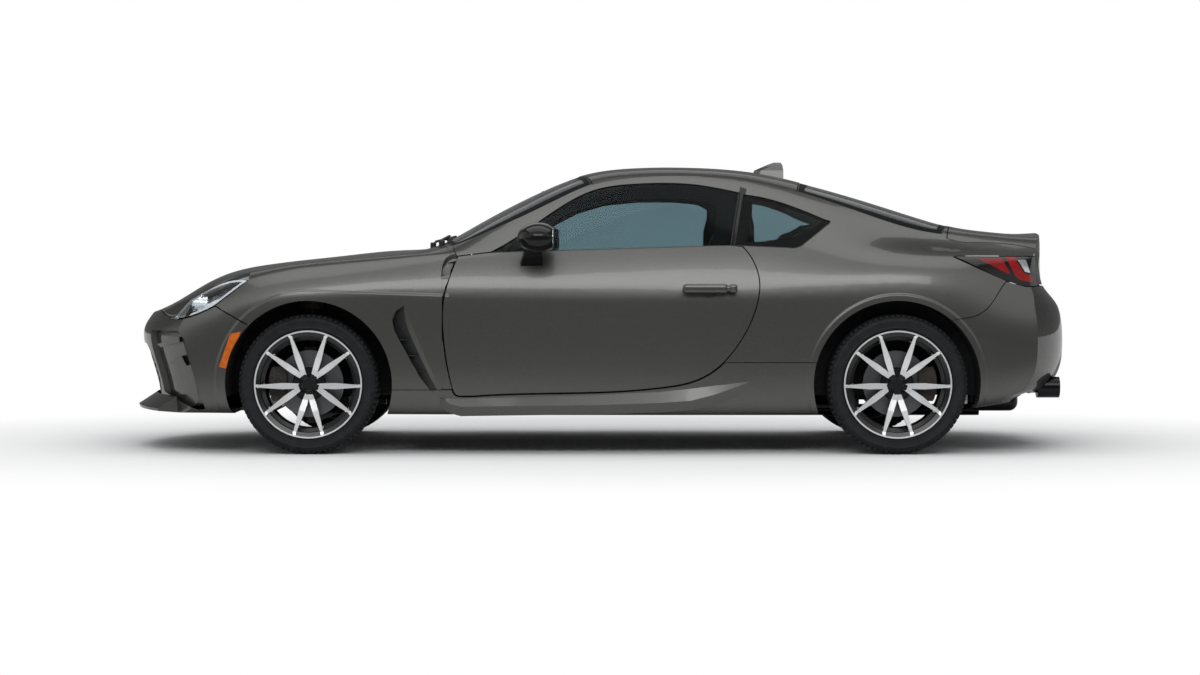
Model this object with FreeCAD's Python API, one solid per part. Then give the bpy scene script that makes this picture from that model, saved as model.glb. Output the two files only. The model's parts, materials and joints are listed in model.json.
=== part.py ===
"""Two-door coupe car, full size, in millimetres.

Frame: origin on the ground under the middle of the car, +X towards the rear, +Y towards the
car's right-hand side, +Z up.  The nose points along -X.

The outer body is one smooth surface through styling lines that run the length of the car, closed
by a curved nose face and a curved tail face.  The panels are cut out of the skin between that
surface and the same surface set inwards, so they meet at even gaps.
"""
import FreeCAD, Part
import math
import os
from functools import lru_cache

V = FreeCAD.Vector

# Overall sizes
FRONT_OVERHANG = 855.0
WHEELBASE = 2575.0
REAR_OVERHANG = 835.0
BODY_WIDTH = 1775.0
BODY_HEIGHT = 1275.0
FRONT_TRACK = 1520.0
REAR_TRACK = 1550.0
TYRE_RADIUS = 306.0
TYRE_WIDTH = 215.0
RIM_RADIUS = 236.0

# The drawing that the styling lines were taken from
DRAWN_FRONT_AXLE = -1275.0
DRAWN_REAR_AXLE = 1300.0
DRAWN_NOSE = -2120.0
DRAWN_TAIL = 2122.0
DRAWN_WIDTH = 1775.0
DRAWN_HEIGHT = 1275.0

SKIN = 14.0           # wall of the outer panels
SHUT_GAP = 5.0        # gap round doors and lids
SEAM = 3.0            # gap between fixed panels
SEAT = 0.3            # clearance where one piece rests on another
CRUMB = 1000.0         # chips of a cut smaller than this, in mm3, are left out

LENGTH = FRONT_OVERHANG + WHEELBASE + REAR_OVERHANG
FRONT_AXLE = FRONT_OVERHANG - LENGTH / 2
REAR_AXLE = FRONT_AXLE + WHEELBASE


def X(x):
    """The car's place along its length for a place on the drawing."""
    if x < DRAWN_FRONT_AXLE:
        share = (x - DRAWN_FRONT_AXLE) / (DRAWN_FRONT_AXLE - DRAWN_NOSE)
        return FRONT_AXLE + share * FRONT_OVERHANG
    if x > DRAWN_REAR_AXLE:
        share = (x - DRAWN_REAR_AXLE) / (DRAWN_TAIL - DRAWN_REAR_AXLE)
        return REAR_AXLE + share * REAR_OVERHANG
    share = (x - DRAWN_FRONT_AXLE) / (DRAWN_REAR_AXLE - DRAWN_FRONT_AXLE)
    return FRONT_AXLE + share * WHEELBASE


def Y(w):
    """Half-width on the car for a half-width on the drawing."""
    return w * BODY_WIDTH / DRAWN_WIDTH


def Z(z):
    """Height on the car for a height on the drawing."""
    return z * BODY_HEIGHT / DRAWN_HEIGHT


def smooth(points):
    """A smooth function through (x, value, ...) points, after Akima, which doesn't overshoot."""
    xs = [p[0] for p in points]
    width = len(points[0]) - 1

    def slopes(k):
        v = [p[k] for p in points]
        m = [(v[i + 1] - v[i]) / (xs[i + 1] - xs[i]) for i in range(len(xs) - 1)]
        m = [2 * m[0] - m[1], m[0]] + m + [m[-1], 2 * m[-1] - m[-2]] if len(m) > 1 else m * 5
        m = [m[0] * 2 - m[1]] + m
        out = []
        for i in range(len(xs)):
            a, b, c, d = m[i + 1], m[i + 2], m[i + 3], m[i + 4] if i + 4 < len(m) else m[-1]
            wb, wc = abs(d - c), abs(b - a)
            out.append((b + c) / 2 if wb + wc < 1e-9 else (wb * b + wc * c) / (wb + wc))
        return out

    table = [slopes(k + 1) for k in range(width)]

    def value(x):
        i = max(0, min(len(xs) - 2, sum(1 for q in xs if q <= x) - 1))
        h = xs[i + 1] - xs[i]
        t = (x - xs[i]) / h
        out = []
        for k in range(width):
            p, q, m, n = points[i][k + 1], points[i + 1][k + 1], table[k][i] * h, table[k][i + 1] * h
            if t < 0:
                out.append(p + m * t)
            elif t > 1:
                out.append(q + n * (t - 1))
            else:
                out.append(p * (1 + 2 * t) * (1 - t) ** 2 + m * t * (1 - t) ** 2
                           + q * t * t * (3 - 2 * t) + n * t * t * (t - 1))
        return out

    return value


# Styling lines: (x, half-width, height) along the car, from the underside up to the middle of the roof
STYLING = {
    "underside": [(-2300, 560, 172), (-1275, 690, 172), (1300, 690, 172), (1680, 660, 200),
                  (1900, 640, 240), (2300, 600, 330)],
    "sill edge": [(-2300, 640, 168), (-1900, 752, 168), (-1740, 792, 168), (-1500, 822, 166), (-1275, 832, 166),
                  (-800, 826, 162), (0, 824, 160), (800, 828, 160), (1300, 838, 166), (1680, 812, 198),
                  (1860, 765, 232), (2010, 705, 275), (2300, 570, 330)],
    "sill side": [(-2300, 650, 250), (-1900, 772, 250), (-1740, 815, 250), (-1500, 850, 250), (-1275, 860, 250),
                  (-800, 846, 240), (0, 842, 240), (800, 846, 240), (1300, 862, 250), (1680, 836, 270),
                  (1860, 790, 300), (2010, 727, 330), (2300, 590, 380)],
    "door low": [(-2300, 660, 400), (-1900, 790, 400), (-1740, 832, 400), (-1500, 868, 410), (-1275, 880, 420),
                 (-800, 862, 400), (0, 856, 400), (800, 862, 400), (1300, 884, 420), (1680, 852, 420),
                 (1860, 806, 430), (2010, 742, 440), (2300, 600, 460)],
    "under crease": [(-2300, 640, 520), (-2000, 730, 520), (-1856, 790, 530), (-1740, 826, 560), (-1500, 868, 640),
                     (-1275, 885, 676), (-800, 871, 660), (0, 866, 650), (800, 870, 650), (1300, 888, 640),
                     (1680, 852, 560), (1860, 800, 560), (2010, 735, 560), (2300, 590, 560)],
    "crease": [(-2300, 560, 540), (-2000, 690, 560), (-1856, 768, 585), (-1740, 808, 620), (-1500, 858, 690),
               (-1275, 878, 716), (-1000, 876, 714), (-650, 868, 700), (0, 862, 700), (800, 868, 705),
               (1300, 884, 720), (1680, 840, 650), (1860, 780, 640), (2010, 715, 640), (2300, 560, 640)],
    "flank": [(-2300, 500, 545), (-2000, 630, 585), (-1856, 735, 622), (-1740, 775, 668), (-1500, 824, 750),
              (-1275, 846, 776), (-1000, 854, 776), (-650, 856, 760), (0, 848, 765), (600, 846, 775),
              (900, 852, 785), (1300, 868, 800), (1680, 812, 760), (1860, 745, 730), (2010, 680, 720), (2300, 520, 720)],
    "belt": [(-2300, 420, 540), (-2000, 560, 590), (-1856, 682, 652), (-1740, 722, 705), (-1500, 768, 790),
             (-1275, 790, 826), (-1000, 806, 842), (-650, 806, 862), (-300, 798, 874), (0, 796, 882), (400, 795, 895),
             (620, 792, 905), (900, 790, 900), (1100, 800, 885), (1300, 806, 872), (1550, 782, 868), (1700, 745, 862),
             (1900, 680, 850), (2300, 480, 830)],
    "glass": [(-2300, 340, 520), (-2000, 470, 592), (-1856, 600, 666), (-1740, 645, 728), (-1500, 700, 806),
              (-1275, 722, 842), (-1000, 745, 862), (-800, 760, 876), (-650, 768, 884), (-500, 760, 905),
              (-300, 742, 940), (-100, 718, 995), (200, 702, 1030), (500, 702, 1025), (700, 716, 1005), (900, 730, 970),
              (1100, 725, 935), (1300, 700, 915), (1550, 660, 900), (1700, 650, 890), (1900, 600, 880), (2300, 420, 870)],
    "pillar low": [(-2300, 300, 520), (-2000, 400, 605), (-1856, 520, 678), (-1740, 570, 742), (-1500, 630, 810),
                   (-1275, 655, 836), (-1000, 690, 862), (-800, 715, 880), (-650, 722, 900), (-500, 700, 945),
                   (-300, 665, 1010), (-100, 625, 1110), (100, 605, 1165), (300, 600, 1182), (500, 604, 1172), (700, 622, 1125),
                   (900, 645, 1065), (1100, 640, 1000), (1300, 610, 960), (1500, 580, 940), (1700, 570, 940), (1900, 540, 925), (2300, 380, 910)],
    "pillar top": [(-2300, 250, 520), (-2000, 340, 612), (-1856, 450, 686), (-1740, 500, 752), (-1500, 560, 814),
                   (-1275, 590, 838), (-1000, 640, 864), (-800, 670, 886), (-650, 672, 915), (-500, 650, 975),
                   (-300, 612, 1068), (-100, 570, 1165), (100, 552, 1215), (300, 546, 1226), (500, 546, 1220), (700, 556, 1185),
                   (900, 570, 1130), (1100, 572, 1065), (1300, 560, 1010), (1500, 545, 975), (1700, 530, 962), (1900, 500, 945), (2300, 340, 930)],
    "roof edge": [(-2300, 200, 520), (-2000, 270, 618), (-1856, 360, 692), (-1740, 410, 760), (-1500, 460, 822),
                  (-1275, 490, 846), (-1000, 530, 872), (-800, 560, 890), (-650, 560, 935), (-500, 540, 1012),
                  (-300, 510, 1112), (-100, 480, 1205), (100, 470, 1246), (300, 466, 1254), (500, 466, 1248), (700, 470, 1224),
                  (900, 475, 1175), (1100, 478, 1118), (1300, 476, 1058), (1500, 470, 1002), (1700, 460, 972), (1900, 430, 955), (2300, 280, 940)],
    "roof side": [(-2300, 120, 520), (-2000, 160, 625), (-1856, 220, 700), (-1740, 260, 770), (-1500, 290, 830),
                  (-1275, 310, 853), (-1000, 330, 882), (-800, 340, 894), (-650, 340, 955), (-500, 330, 1040),
                  (-300, 315, 1140), (-100, 300, 1228), (100, 295, 1262), (300, 295, 1270), (500, 295, 1265), (700, 295, 1245),
                  (900, 295, 1203), (1100, 295, 1148), (1300, 292, 1087), (1500, 288, 1025), (1700, 280, 982), (1900, 260, 962), (2300, 160, 950)],
    "middle": [(-2300, 0, 400), (-2100, 0, 542), (-2000, 0, 628), (-1856, 0, 702), (-1700, 0, 775), (-1581, 0, 814),
               (-1395, 0, 846), (-1209, 0, 865), (-1023, 0, 888), (-900, 0, 896), (-800, 0, 898), (-740, 0, 914), (-651, 0, 967),
               (-465, 0, 1074), (-279, 0, 1167), (-93, 0, 1240), (0, 0, 1261), (93, 0, 1271), (250, 0, 1277),
               (465, 0, 1274), (651, 0, 1262), (790, 0, 1241), (883, 0, 1218), (1023, 0, 1182), (1302, 0, 1100), (1488, 0, 1036),
               (1581, 0, 1004), (1660, 0, 990), (1767, 0, 982), (1880, 0, 970), (1950, 0, 972), (2010, 0, 980), (2300, 0, 990)],
}
STATIONS = [-2300, -2220, -2140, -2060, -1990, -1920, -1850, -1770, -1680, -1580, -1470, -1350, -1230, -1110, -1000,
            -910, -840, -785, -735, -680, -610, -520, -420, -310, -200, -90, 20, 140, 270, 400, 530, 650, 760,
            860, 960, 1070, 1180, 1290, 1400, 1500, 1590, 1670, 1750, 1830, 1900, 1960, 2020, 2090, 2180, 2300]


NOSE = [(60, -2020), (249, -2039), (495, -2101), (535, -2098), (560, -2088), (600, -2060), (700, -1975),
        (800, -1880), (1400, -1300)]
NOSE_BEND = 4.0e-4
TAIL = [(60, 1900), (215, 1950), (246, 1985), (261, 2035), (310, 2090), (400, 2120), (500, 2122), (560, 2118),
        (640, 2100), (690, 2060), (725, 2022), (800, 2012), (890, 2012), (940, 2012), (970, 2010), (1000, 2004),
        (1400, 1950)]
TAIL_BEND = [(60, 3.4e-4), (640, 3.4e-4), (725, 2.5e-4), (1400, 2.5e-4)]


def bspline_surface(net):
    """A smooth bicubic surface that follows a net of points."""
    def knots(n):
        spans = n - 3
        return [float(i) for i in range(spans + 1)], [4] + [1] * (spans - 1) + [4]

    u_knots, u_mults = knots(len(net))
    v_knots, v_mults = knots(len(net[0]))
    surface = Part.BSplineSurface()
    surface.buildFromPolesMultsKnots(net, u_mults, v_mults, u_knots, v_knots, False, False, 3, 3)
    return surface


def body_net(inset):
    """The net of the whole outer surface, each point moved inwards by the inset."""
    lines = [smooth(points) for points in STYLING.values()]
    half = [[V(X(x), -Y(w), Z(z)) for w, z in (line(x) for line in lines)] for x in STATIONS]
    net = [row + [V(p.x, -p.y, p.z) for p in reversed(row[:-1])] for row in half]
    if not inset:
        return net
    moved = []
    for i, row in enumerate(net):
        before, after = net[max(0, i - 1)], net[min(len(net) - 1, i + 1)]
        out = []
        for j, p in enumerate(row):
            along = after[j] - before[j]
            across = row[min(len(row) - 1, j + 1)] - row[max(0, j - 1)]
            step = across.cross(along).normalize() * inset
            if i in (0, len(net) - 1):
                step.x = 0
            out.append(p + step)
        moved.append(out)
    return moved


def long_solid(inset):
    """The body's lengthwise surface closed underneath and across its two ends."""
    face = bspline_surface(body_net(inset)).toShape()
    ends = sorted(face.Edges, key=lambda e: e.BoundBox.XLength)
    faces = [face, Part.makeRuledSurface(ends[2], ends[3])]
    for edge in ends[:2]:
        a, b = edge.Vertexes[0].Point, edge.Vertexes[-1].Point
        faces.append(Part.Face(Part.Wire([edge, Part.makeLine(a, b)])))
    shell = Part.makeShell(faces)
    shell.sewShape()
    solid = Part.makeSolid(shell)
    if solid.Volume < 0:
        solid.reverse()
    return solid


def end_solid(inset, front):
    """Everything behind the nose face, or ahead of the tail face."""
    place = smooth(NOSE if front else TAIL)
    bend = smooth(TAIL_BEND)
    sign = 1 if front else -1
    net = []
    for z in [60, 110, 160, 200, 230, 249, 261, 285, 320, 370, 430, 495, 530, 560, 600, 640, 670, 700, 740, 800,
              880, 940, 1000, 1100, 1250, 1400]:
        row = []
        for w in range(-1000, 1001, 100):
            curve = NOSE_BEND if front else bend(z)[0]
            x = place(z)[0] + sign * curve * w * w
            slope = 2 * sign * curve * w
            rise = (place(z + 5)[0] - place(z - 5)[0]) / 10
            normal = V(1, -slope, -rise).normalize() * (sign * inset)
            row.append(V(X(x), Y(w), Z(z)) + normal)
        net.append(row)
    return bspline_surface(net).toShape().extrude(V(sign * 6000, 0, 0))


@lru_cache(maxsize=None)
def body_solid(inset):
    """The whole body as one solid, its surface moved inwards by the inset."""
    return long_solid(inset).common(end_solid(inset, True)).common(end_solid(inset, False))


def outline(plane, *runs):
    """A flat face inside runs of points on the drawing; a run of more than two points is smooth."""
    place = {
        "side": lambda p: V(X(p[0]), 0, Z(p[1])),
        "plan": lambda p: V(X(p[0]), -Y(p[1]), 0),
        "front": lambda p: V(0, -Y(p[0]), Z(p[1])),
    }[plane]
    edges = []
    for run in runs:
        points = [place(p) for p in run]
        if len(points) == 2:
            edges.append(Part.makeLine(*points))
        else:
            curve = Part.BSplineCurve()
            curve.interpolate(points)
            edges.append(curve.toShape())
    return Part.Face(Part.Wire(Part.__sortEdges__(edges)))


def polygon(plane, *points):
    closed = list(points) + [points[0]]
    return outline(plane, *[closed[i:i + 2] for i in range(len(points))])


def ring(rear, side, front):
    """A plan outline the same left and right, from its left half: rear edge, side edge, front edge."""
    def flip(points):
        return [(x, -w) for x, w in points]

    return outline("plan", side, front + flip(front[:-1])[::-1], flip(side)[::-1],
                   flip(rear) + rear[:-1][::-1])


def grown(face, gap):
    """A flat face made larger all round by a gap, its edges kept as plain curves for clean cuts."""
    wire = face.OuterWire.makeOffset2D(gap)
    return Part.Face(Part.Wire([edge.toNurbs().Edges[0] for edge in wire.OrderedEdges]))


def through(face, a, b):
    """A flat outline pushed through the car between two places on the axis it faces along."""
    box = face.BoundBox
    thin = min((box.XLength, 0), (box.YLength, 1), (box.ZLength, 2))[1]
    step = [V(1, 0, 0), V(0, 1, 0), V(0, 0, 1)][thin]
    moved = face.copy()
    moved.translate(step * a)
    return moved.extrude(step * (b - a))


def left_of(face, inner=1.0, outer=1000.0):
    return through(face, -outer, -inner)


def box(x0, x1, w0, w1, z0, z1):
    """A box on the car's left from drawing places."""
    a, b = V(X(x0), -Y(w1), Z(z0)), V(X(x1), -Y(w0), Z(z1))
    return Part.makeBox(b.x - a.x, b.y - a.y, b.z - a.z, a)


def mirrored(shape):
    return shape.mirror(V(0, 0, 0), V(0, 1, 0))


def both(shape):
    return shape.fuse(mirrored(shape))


def largest(shape):
    return max(shape.Solids, key=lambda solid: solid.Volume)


def pair(shape):
    """The same piece on the left and on the right, as two solids."""
    one = largest(shape)
    return Part.makeCompound([one, mirrored(one)])


def turned(profile, face_along_y=True):
    """A solid of revolution about the axle from (radius, y) points; a run of points is smooth."""
    edges = []
    for run in profile:
        points = [V(r, y, 0) for r, y in run]
        if len(points) == 2:
            edges.append(Part.makeLine(*points))
        else:
            curve = Part.BSplineCurve()
            curve.interpolate(points)
            edges.append(curve.toShape())
    return Part.Face(Part.Wire(Part.__sortEdges__(edges))).revolve(V(0, 0, 0), V(0, 1, 0), 360)


def corners(*points):
    closed = list(points) + [points[0]]
    return [closed[i:i + 2] for i in range(len(points))]


def at(shape, x, y, z):
    moved = shape.copy()
    moved.translate(V(x, y, z))
    return moved


# Panel outlines on the drawing
DOOR = [
    [(-621, 864), (-656, 768), (-680, 673), (-685, 589), (-678, 483), (-657, 345), (-641, 281)],
    [(-641, 281), (-630, 263), (-609, 257)],
    [(-609, 257), (-556, 257)],
    [(-556, 257), (-132, 271), (131, 281), (291, 297), (397, 318), (502, 372), (588, 462), (651, 567),
     (687, 673), (695, 748), (679, 822), (624, 906)],
    [(624, 906), (578, 912)],
    [(578, 912), (-488, 880)],
    [(-488, 880), (-621, 864)],
]
DOOR_GLASS = [
    [(-480, 880.6), (-241, 1035), (-134, 1105), (-27, 1155), (80, 1177), (189, 1185), (297, 1187),
     (404, 1182), (512, 1166), (618, 1144)],
    [(618, 1144), (574, 912.3)],
    [(574, 912.3), (-480, 880.6)],
]
QUARTER_GLASS = [
    [(634, 1140), (812, 1102), (937, 1054), (1000, 1027)],
    [(1000, 1027), (1021, 1018), (1005, 1002)],
    [(1005, 1002), (902, 923)],
    [(902, 923), (880, 908), (824, 902)],
    [(824, 902), (590, 912)],
    [(590, 912), (634, 1140)],
]
HEADLAMP = [
    [(-1893, 588), (-1888, 620), (-1835, 660), (-1782, 691), (-1685, 737), (-1619, 757), (-1543, 759)],
    [(-1543, 759), (-1682, 651)],
    [(-1682, 651), (-1754, 616), (-1835, 593), (-1893, 588)],
]
TAIL_LAMP = [
    [(1555, 865), (2150, 862)],
    [(2150, 862), (2150, 734)],
    [(2150, 734), (1866, 734)],
    [(1866, 734), (1779, 759), (1664, 812), (1555, 865)],
]
FRONT_BUMPER = [
    [(-2300, 140), (-2300, 660)],
    [(-2300, 660), (-1905, 660)],
    [(-1905, 660), (-1898, 585)],
    [(-1898, 585), (-1835, 588), (-1754, 611), (-1682, 645)],
    [(-1682, 645), (-1575, 584)],
    [(-1575, 584), (-1450, 520)],
    [(-1450, 520), (-1450, 140)],
    [(-1450, 140), (-2300, 140)],
]
REAR_BUMPER = [
    [(2300, 140), (2300, 730)],
    [(2300, 730), (1866, 730)],
    [(1866, 730), (1779, 754)],
    [(1779, 754), (1731, 690), (1686, 634), (1641, 606), (1602, 597)],
    [(1602, 597), (1450, 570)],
    [(1450, 570), (1450, 140)],
    [(1450, 140), (2300, 140)],
]
FENDER = [
    [(-1539, 758), (-1678, 650)],
    [(-1678, 650), (-1572, 589)],
    [(-1572, 589), (-1440, 520)],
    [(-1440, 520), (-1000, 283)],
    [(-1000, 283), (-500, 283)],
    [(-500, 283), (-500, 864)],
    [(-500, 864), (-628, 864)],
    [(-628, 864), (-650, 905)],
    [(-650, 905), (-650, 1000)],
    [(-650, 1000), (-1539, 1000)],
    [(-1539, 1000), (-1539, 758)],
]
SKIRT = [
    [(-1000, 140), (-1000, 280)],
    [(-1000, 280), (-500, 280)],
    [(-500, 280), (-500, 400)],
    [(-500, 400), (1000, 400)],
    [(1000, 400), (1000, 140)],
    [(1000, 140), (-1000, 140)],
]
BODY_SIDE = [
    [(-647, 905), (-625, 866)],
    [(-625, 866), (-560, 850)],
    [(-560, 850), (0, 403)],
    [(0, 403), (1100, 403)],
    [(1100, 403), (1456, 573)],
    [(1456, 573), (1600, 600)],
    [(1600, 600), (1639, 609), (1684, 637), (1728, 692), (1776, 757)],
    [(1776, 757), (1660, 808)],
    [(1660, 808), (1545, 862)],
    [(1545, 862), (1560, 868)],
    [(1560, 868), (2250, 866)],
    [(2250, 866), (2250, 1400)],
    [(2250, 1400), (-647, 1400)],
    [(-647, 1400), (-647, 905)],
]
BONNET = dict(
    rear=[(-672, 700), (-748, 520), (-790, 300), (-805, 0)],
    side=[(-672, 700), (-900, 706), (-1275, 700), (-1500, 694), (-1700, 690), (-1800, 688), (-1868, 676)],
    front=[(-1868, 676), (-1905, 610), (-1950, 480), (-1992, 260), (-2010, 0)],
)
WINDSCREEN = dict(
    rear=[(-40, 548), (-80, 300), (-98, 0)],
    side=[(-40, 548), (-100, 560), (-300, 604), (-500, 645), (-652, 680)],
    front=[(-652, 680), (-690, 520), (-730, 300), (-745, 0)],
)
ROOF = dict(
    rear=[(878, 520), (900, 300), (908, 0)],
    side=[(878, 520), (650, 528), (300, 536), (100, 544), (-32, 552)],
    front=[(-32, 552), (-74, 300), (-93, 0)],
)
BACKLIGHT = dict(
    rear=[(1520, 548), (1572, 300), (1585, 0)],
    side=[(1520, 548), (1307, 546), (1150, 536), (1000, 526), (884, 518)],
    front=[(884, 518), (906, 300), (914, 0)],
)
BOOT_LID = dict(
    rear=[(2200, 558), (2200, 300), (2200, 0)],
    side=[(2200, 558), (1925, 560), (1700, 588), (1600, 592), (1545, 572)],
    front=[(1545, 572), (1581, 300), (1593, 0)],
)

COWL = dict(
    rear=[(-658, 672), (-695, 520), (-735, 300), (-750, 0)],
    side=[(-658, 672), (-664, 680)],
    front=[(-664, 680), (-740, 520), (-783, 300), (-798, 0)],
)

WHEEL_HEIGHT = TYRE_RADIUS
ARCH_RADIUS = 366.0
FRONT_HOUSE_INNER = 470.0
REAR_HOUSE_INNER = 640.0
DOOR_INNER = 745.0
BUMPER_TOP = 730.0


def arch(axle, radius, inner, outer=1000.0):
    """A cylinder about a left wheel's axle."""
    return Part.makeCylinder(radius, outer - inner, V(axle, -outer, WHEEL_HEIGHT), V(0, 1, 0))


def body_parts():
    outer = body_solid(0)
    under_skin = body_solid(SKIN)
    inside = body_solid(SKIN + SEAT)
    skin = outer.cut(under_skin)
    thin_glass = body_solid(3).cut(body_solid(8))
    fixed_glass = body_solid(3).cut(under_skin)
    half = Part.makeBox(6000, 1000, 2000, V(-3000, -1000, 0))
    left_skin = skin.common(half)
    left_glass = fixed_glass.common(half)
    parts = {}

    def over(shape_ring, low, gap=0.0):
        face = ring(**shape_ring)
        if gap:
            face = grown(face, gap)
        return through(face, low, 1500)

    parts["bonnet"] = skin.common(over(BONNET, 500))
    parts["windscreen"] = fixed_glass.common(over(WINDSCREEN, 800))
    parts["roof_panel"] = skin.common(over(ROOF, 800))
    parts["rear_window"] = fixed_glass.common(over(BACKLIGHT, 800))
    parts["boot_lid"] = skin.common(over(BOOT_LID, BUMPER_TOP + 8))

    arches = [arch(FRONT_AXLE, ARCH_RADIUS, FRONT_HOUSE_INNER), arch(REAR_AXLE, ARCH_RADIUS, REAR_HOUSE_INNER)]
    door_face = outline("side", *DOOR)
    shut = left_of(grown(door_face, SHUT_GAP))
    lamp_face = outline("side", *HEADLAMP)
    tail_face = outline("side", *TAIL_LAMP)
    tops = [over(BONNET, 500, SHUT_GAP), over(WINDSCREEN, 800, SEAM), over(ROOF, 800, SEAM),
            over(BACKLIGHT, 800, SEAM), over(BOOT_LID, BUMPER_TOP + 3, SHUT_GAP)]

    vent_zone = left_of(polygon("side", (-925, 600), (-880, 670), (-830, 660), (-724, 400), (-724, 290),
                                (-800, 290)), 700)
    vent_wall = outer.cut(body_solid(VENT_WALL)).common(vent_zone)
    fender = left_skin.common(left_of(outline("side", *FENDER))).fuse(vent_wall).cut(vent_wedge())
    fender = fender.fuse([fin.common(body_solid(8)) for fin in vent_fins()])
    door_swing = Part.makeCylinder(64, 1500, DOOR_HINGE)
    fender = fender.cut(arches + [shut, tops[0], tops[1], over(COWL, 800, SEAM), door_swing])
    side = left_skin.common(left_of(outline("side", *BODY_SIDE)))
    windows = [left_of(grown(outline("side", *DOOR_GLASS), SHUT_GAP)),
               left_of(grown(outline("side", *QUARTER_GLASS), SEAT))]
    side = side.cut(arches + [shut] + tops + windows)
    skirt = left_skin.common(left_of(outline("side", *SKIRT), 705)).fuse(sill_blade().cut(under_skin))
    skirt = skirt.cut(vent_wedge())
    skirt = skirt.cut(arches + [left_of(grown(door_face, SHUT_GAP + 3))])
    handle_bowl = Part.makeSphere(90, V(X(477), -942, Z(729)))
    door = outer.common(left_of(door_face, DOOR_INNER)).cut(hinge_slots() + [handle_bowl])
    lens_depth = outer.cut(body_solid(LAMP_DEPTH)).common(half)
    headlamp = outer.cut(body_solid(LENS)).common(left_of(lamp_face, 500)).cut(tops[0])
    tail_lamp = lens_depth.common(left_of(tail_face, 568))
    door_glass = thin_glass.common(half).common(left_of(outline("side", *DOOR_GLASS), 500))
    quarter_glass = left_glass.common(left_of(outline("side", *QUARTER_GLASS), 500))

    pocket_zone = left_of(grown(BUMPER_POCKET, 12), 458)
    pocket_wall = outer.cut(body_solid(POCKET_DEPTH + SKIN)).common(pocket_zone)
    pocket = left_of(BUMPER_POCKET, 470).cut(body_solid(POCKET_DEPTH))
    fins = body_solid(3).cut(body_solid(FRAME_DEPTH))
    fins = [fins.common(left_of(face, 480)) for face in BUMPER_FINS]
    bumper = skin.common(through(outline("side", *FRONT_BUMPER), -1000, 1000))
    bumper = bumper.fuse(both(pocket_wall)).cut(both(pocket)).fuse([both(fin) for fin in fins])
    grille_face = outline("front", *GRILLE)
    bumper = bumper.cut([arches[0], mirrored(arches[0]), tops[0], through(grille_face, -3000, 0)])
    grille = inside.cut(body_solid(26)).common(through(grown(grille_face, 12), -3000, -1500))
    mesh_zone = through(grown(grille_face, -6), -3000, -1500)
    parts["grille"] = grille.cut(grille_holes().common(mesh_zone))
    rear = skin.common(through(outline("side", *REAR_BUMPER), -1000, 1000))
    middle = Part.makeBox(6000, 1200, 2000, V(-3000, -600, 0))
    silencer_space = both(box(1400, 1925, 0, 660, 100, 262))
    rear = rear.cut([arches[1], mirrored(arches[1]), through(grown(DIFFUSER, SEAT), -1000, 1000).common(middle)])
    slim = Part.makeBox(6000, 1200 - 2 * SEAT, 2000, V(-3000, -600 + SEAT, 0))
    outlets = Part.makeCylinder(56, 400, EXHAUST_PLACE - V(130, 0, 0), V(1, 0, 0))
    outlets = [outlets, mirrored(outlets), silencer_space]
    rear = rear.cut(outlets)
    parts["rear_diffuser"] = skin.common(through(DIFFUSER, -1000, 1000).common(slim)).cut(outlets)
    parts["front_bumper"] = bumper
    parts["rear_bumper"] = rear
    for name, shape in (("fenders", fender), ("body_sides", side), ("side_skirts", skirt),
                        ("headlamps", headlamp), ("tail_lamps", tail_lamp), ("quarter_glass", quarter_glass)):
        parts[name] = pair(shape)
    for name, shape in (("door", door), ("door_glass", door_glass)):
        parts[name + "_left"] = shape
        parts[name + "_right"] = mirrored(shape)
    panel_room = [left_of(grown(lamp_face, SEAT), 500).cut(body_solid(LAMP_DEPTH + SEAT)),
                  left_of(grown(tail_face, SEAT), 560),
                  left_of(grown(BUMPER_POCKET, 12 + SEAT), 457).cut(body_solid(POCKET_DEPTH + SKIN + SEAT))]
    parts.update(structure(inside, door_face, panel_room, lamp_carrier(lamp_face, over(BONNET, 500, 8))))
    parts["cowl"] = skin.common(through(ring(**COWL), 800, 1500))
    return parts


FLOOR = 192.0
JACK_PAD = 16.0
JACK_PLACES = (-850, 800)
FRAME_DEPTH = 34.0
FRAME_SEAM = 862.0
LAMP_DEPTH = 40.0
LENS = 5.0
POCKET_DEPTH = 26.0
VENT_WALL = 44.0
EXHAUST_PLACE = V(X(1955), -455, 276)
STRUT_TOP = V(FRONT_AXLE, -596, 778)
BALL_JOINT = V(FRONT_AXLE, -722, 190)
ARM_DROOP = 4.0
DOOR_HINGE = V(X(-630), -846, 0)
HINGE_HEIGHTS = (440, 640)
HINGE_ARM = 124.0
PIN_RADIUS = 4.0
EYE_RADIUS = 7.0


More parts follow.
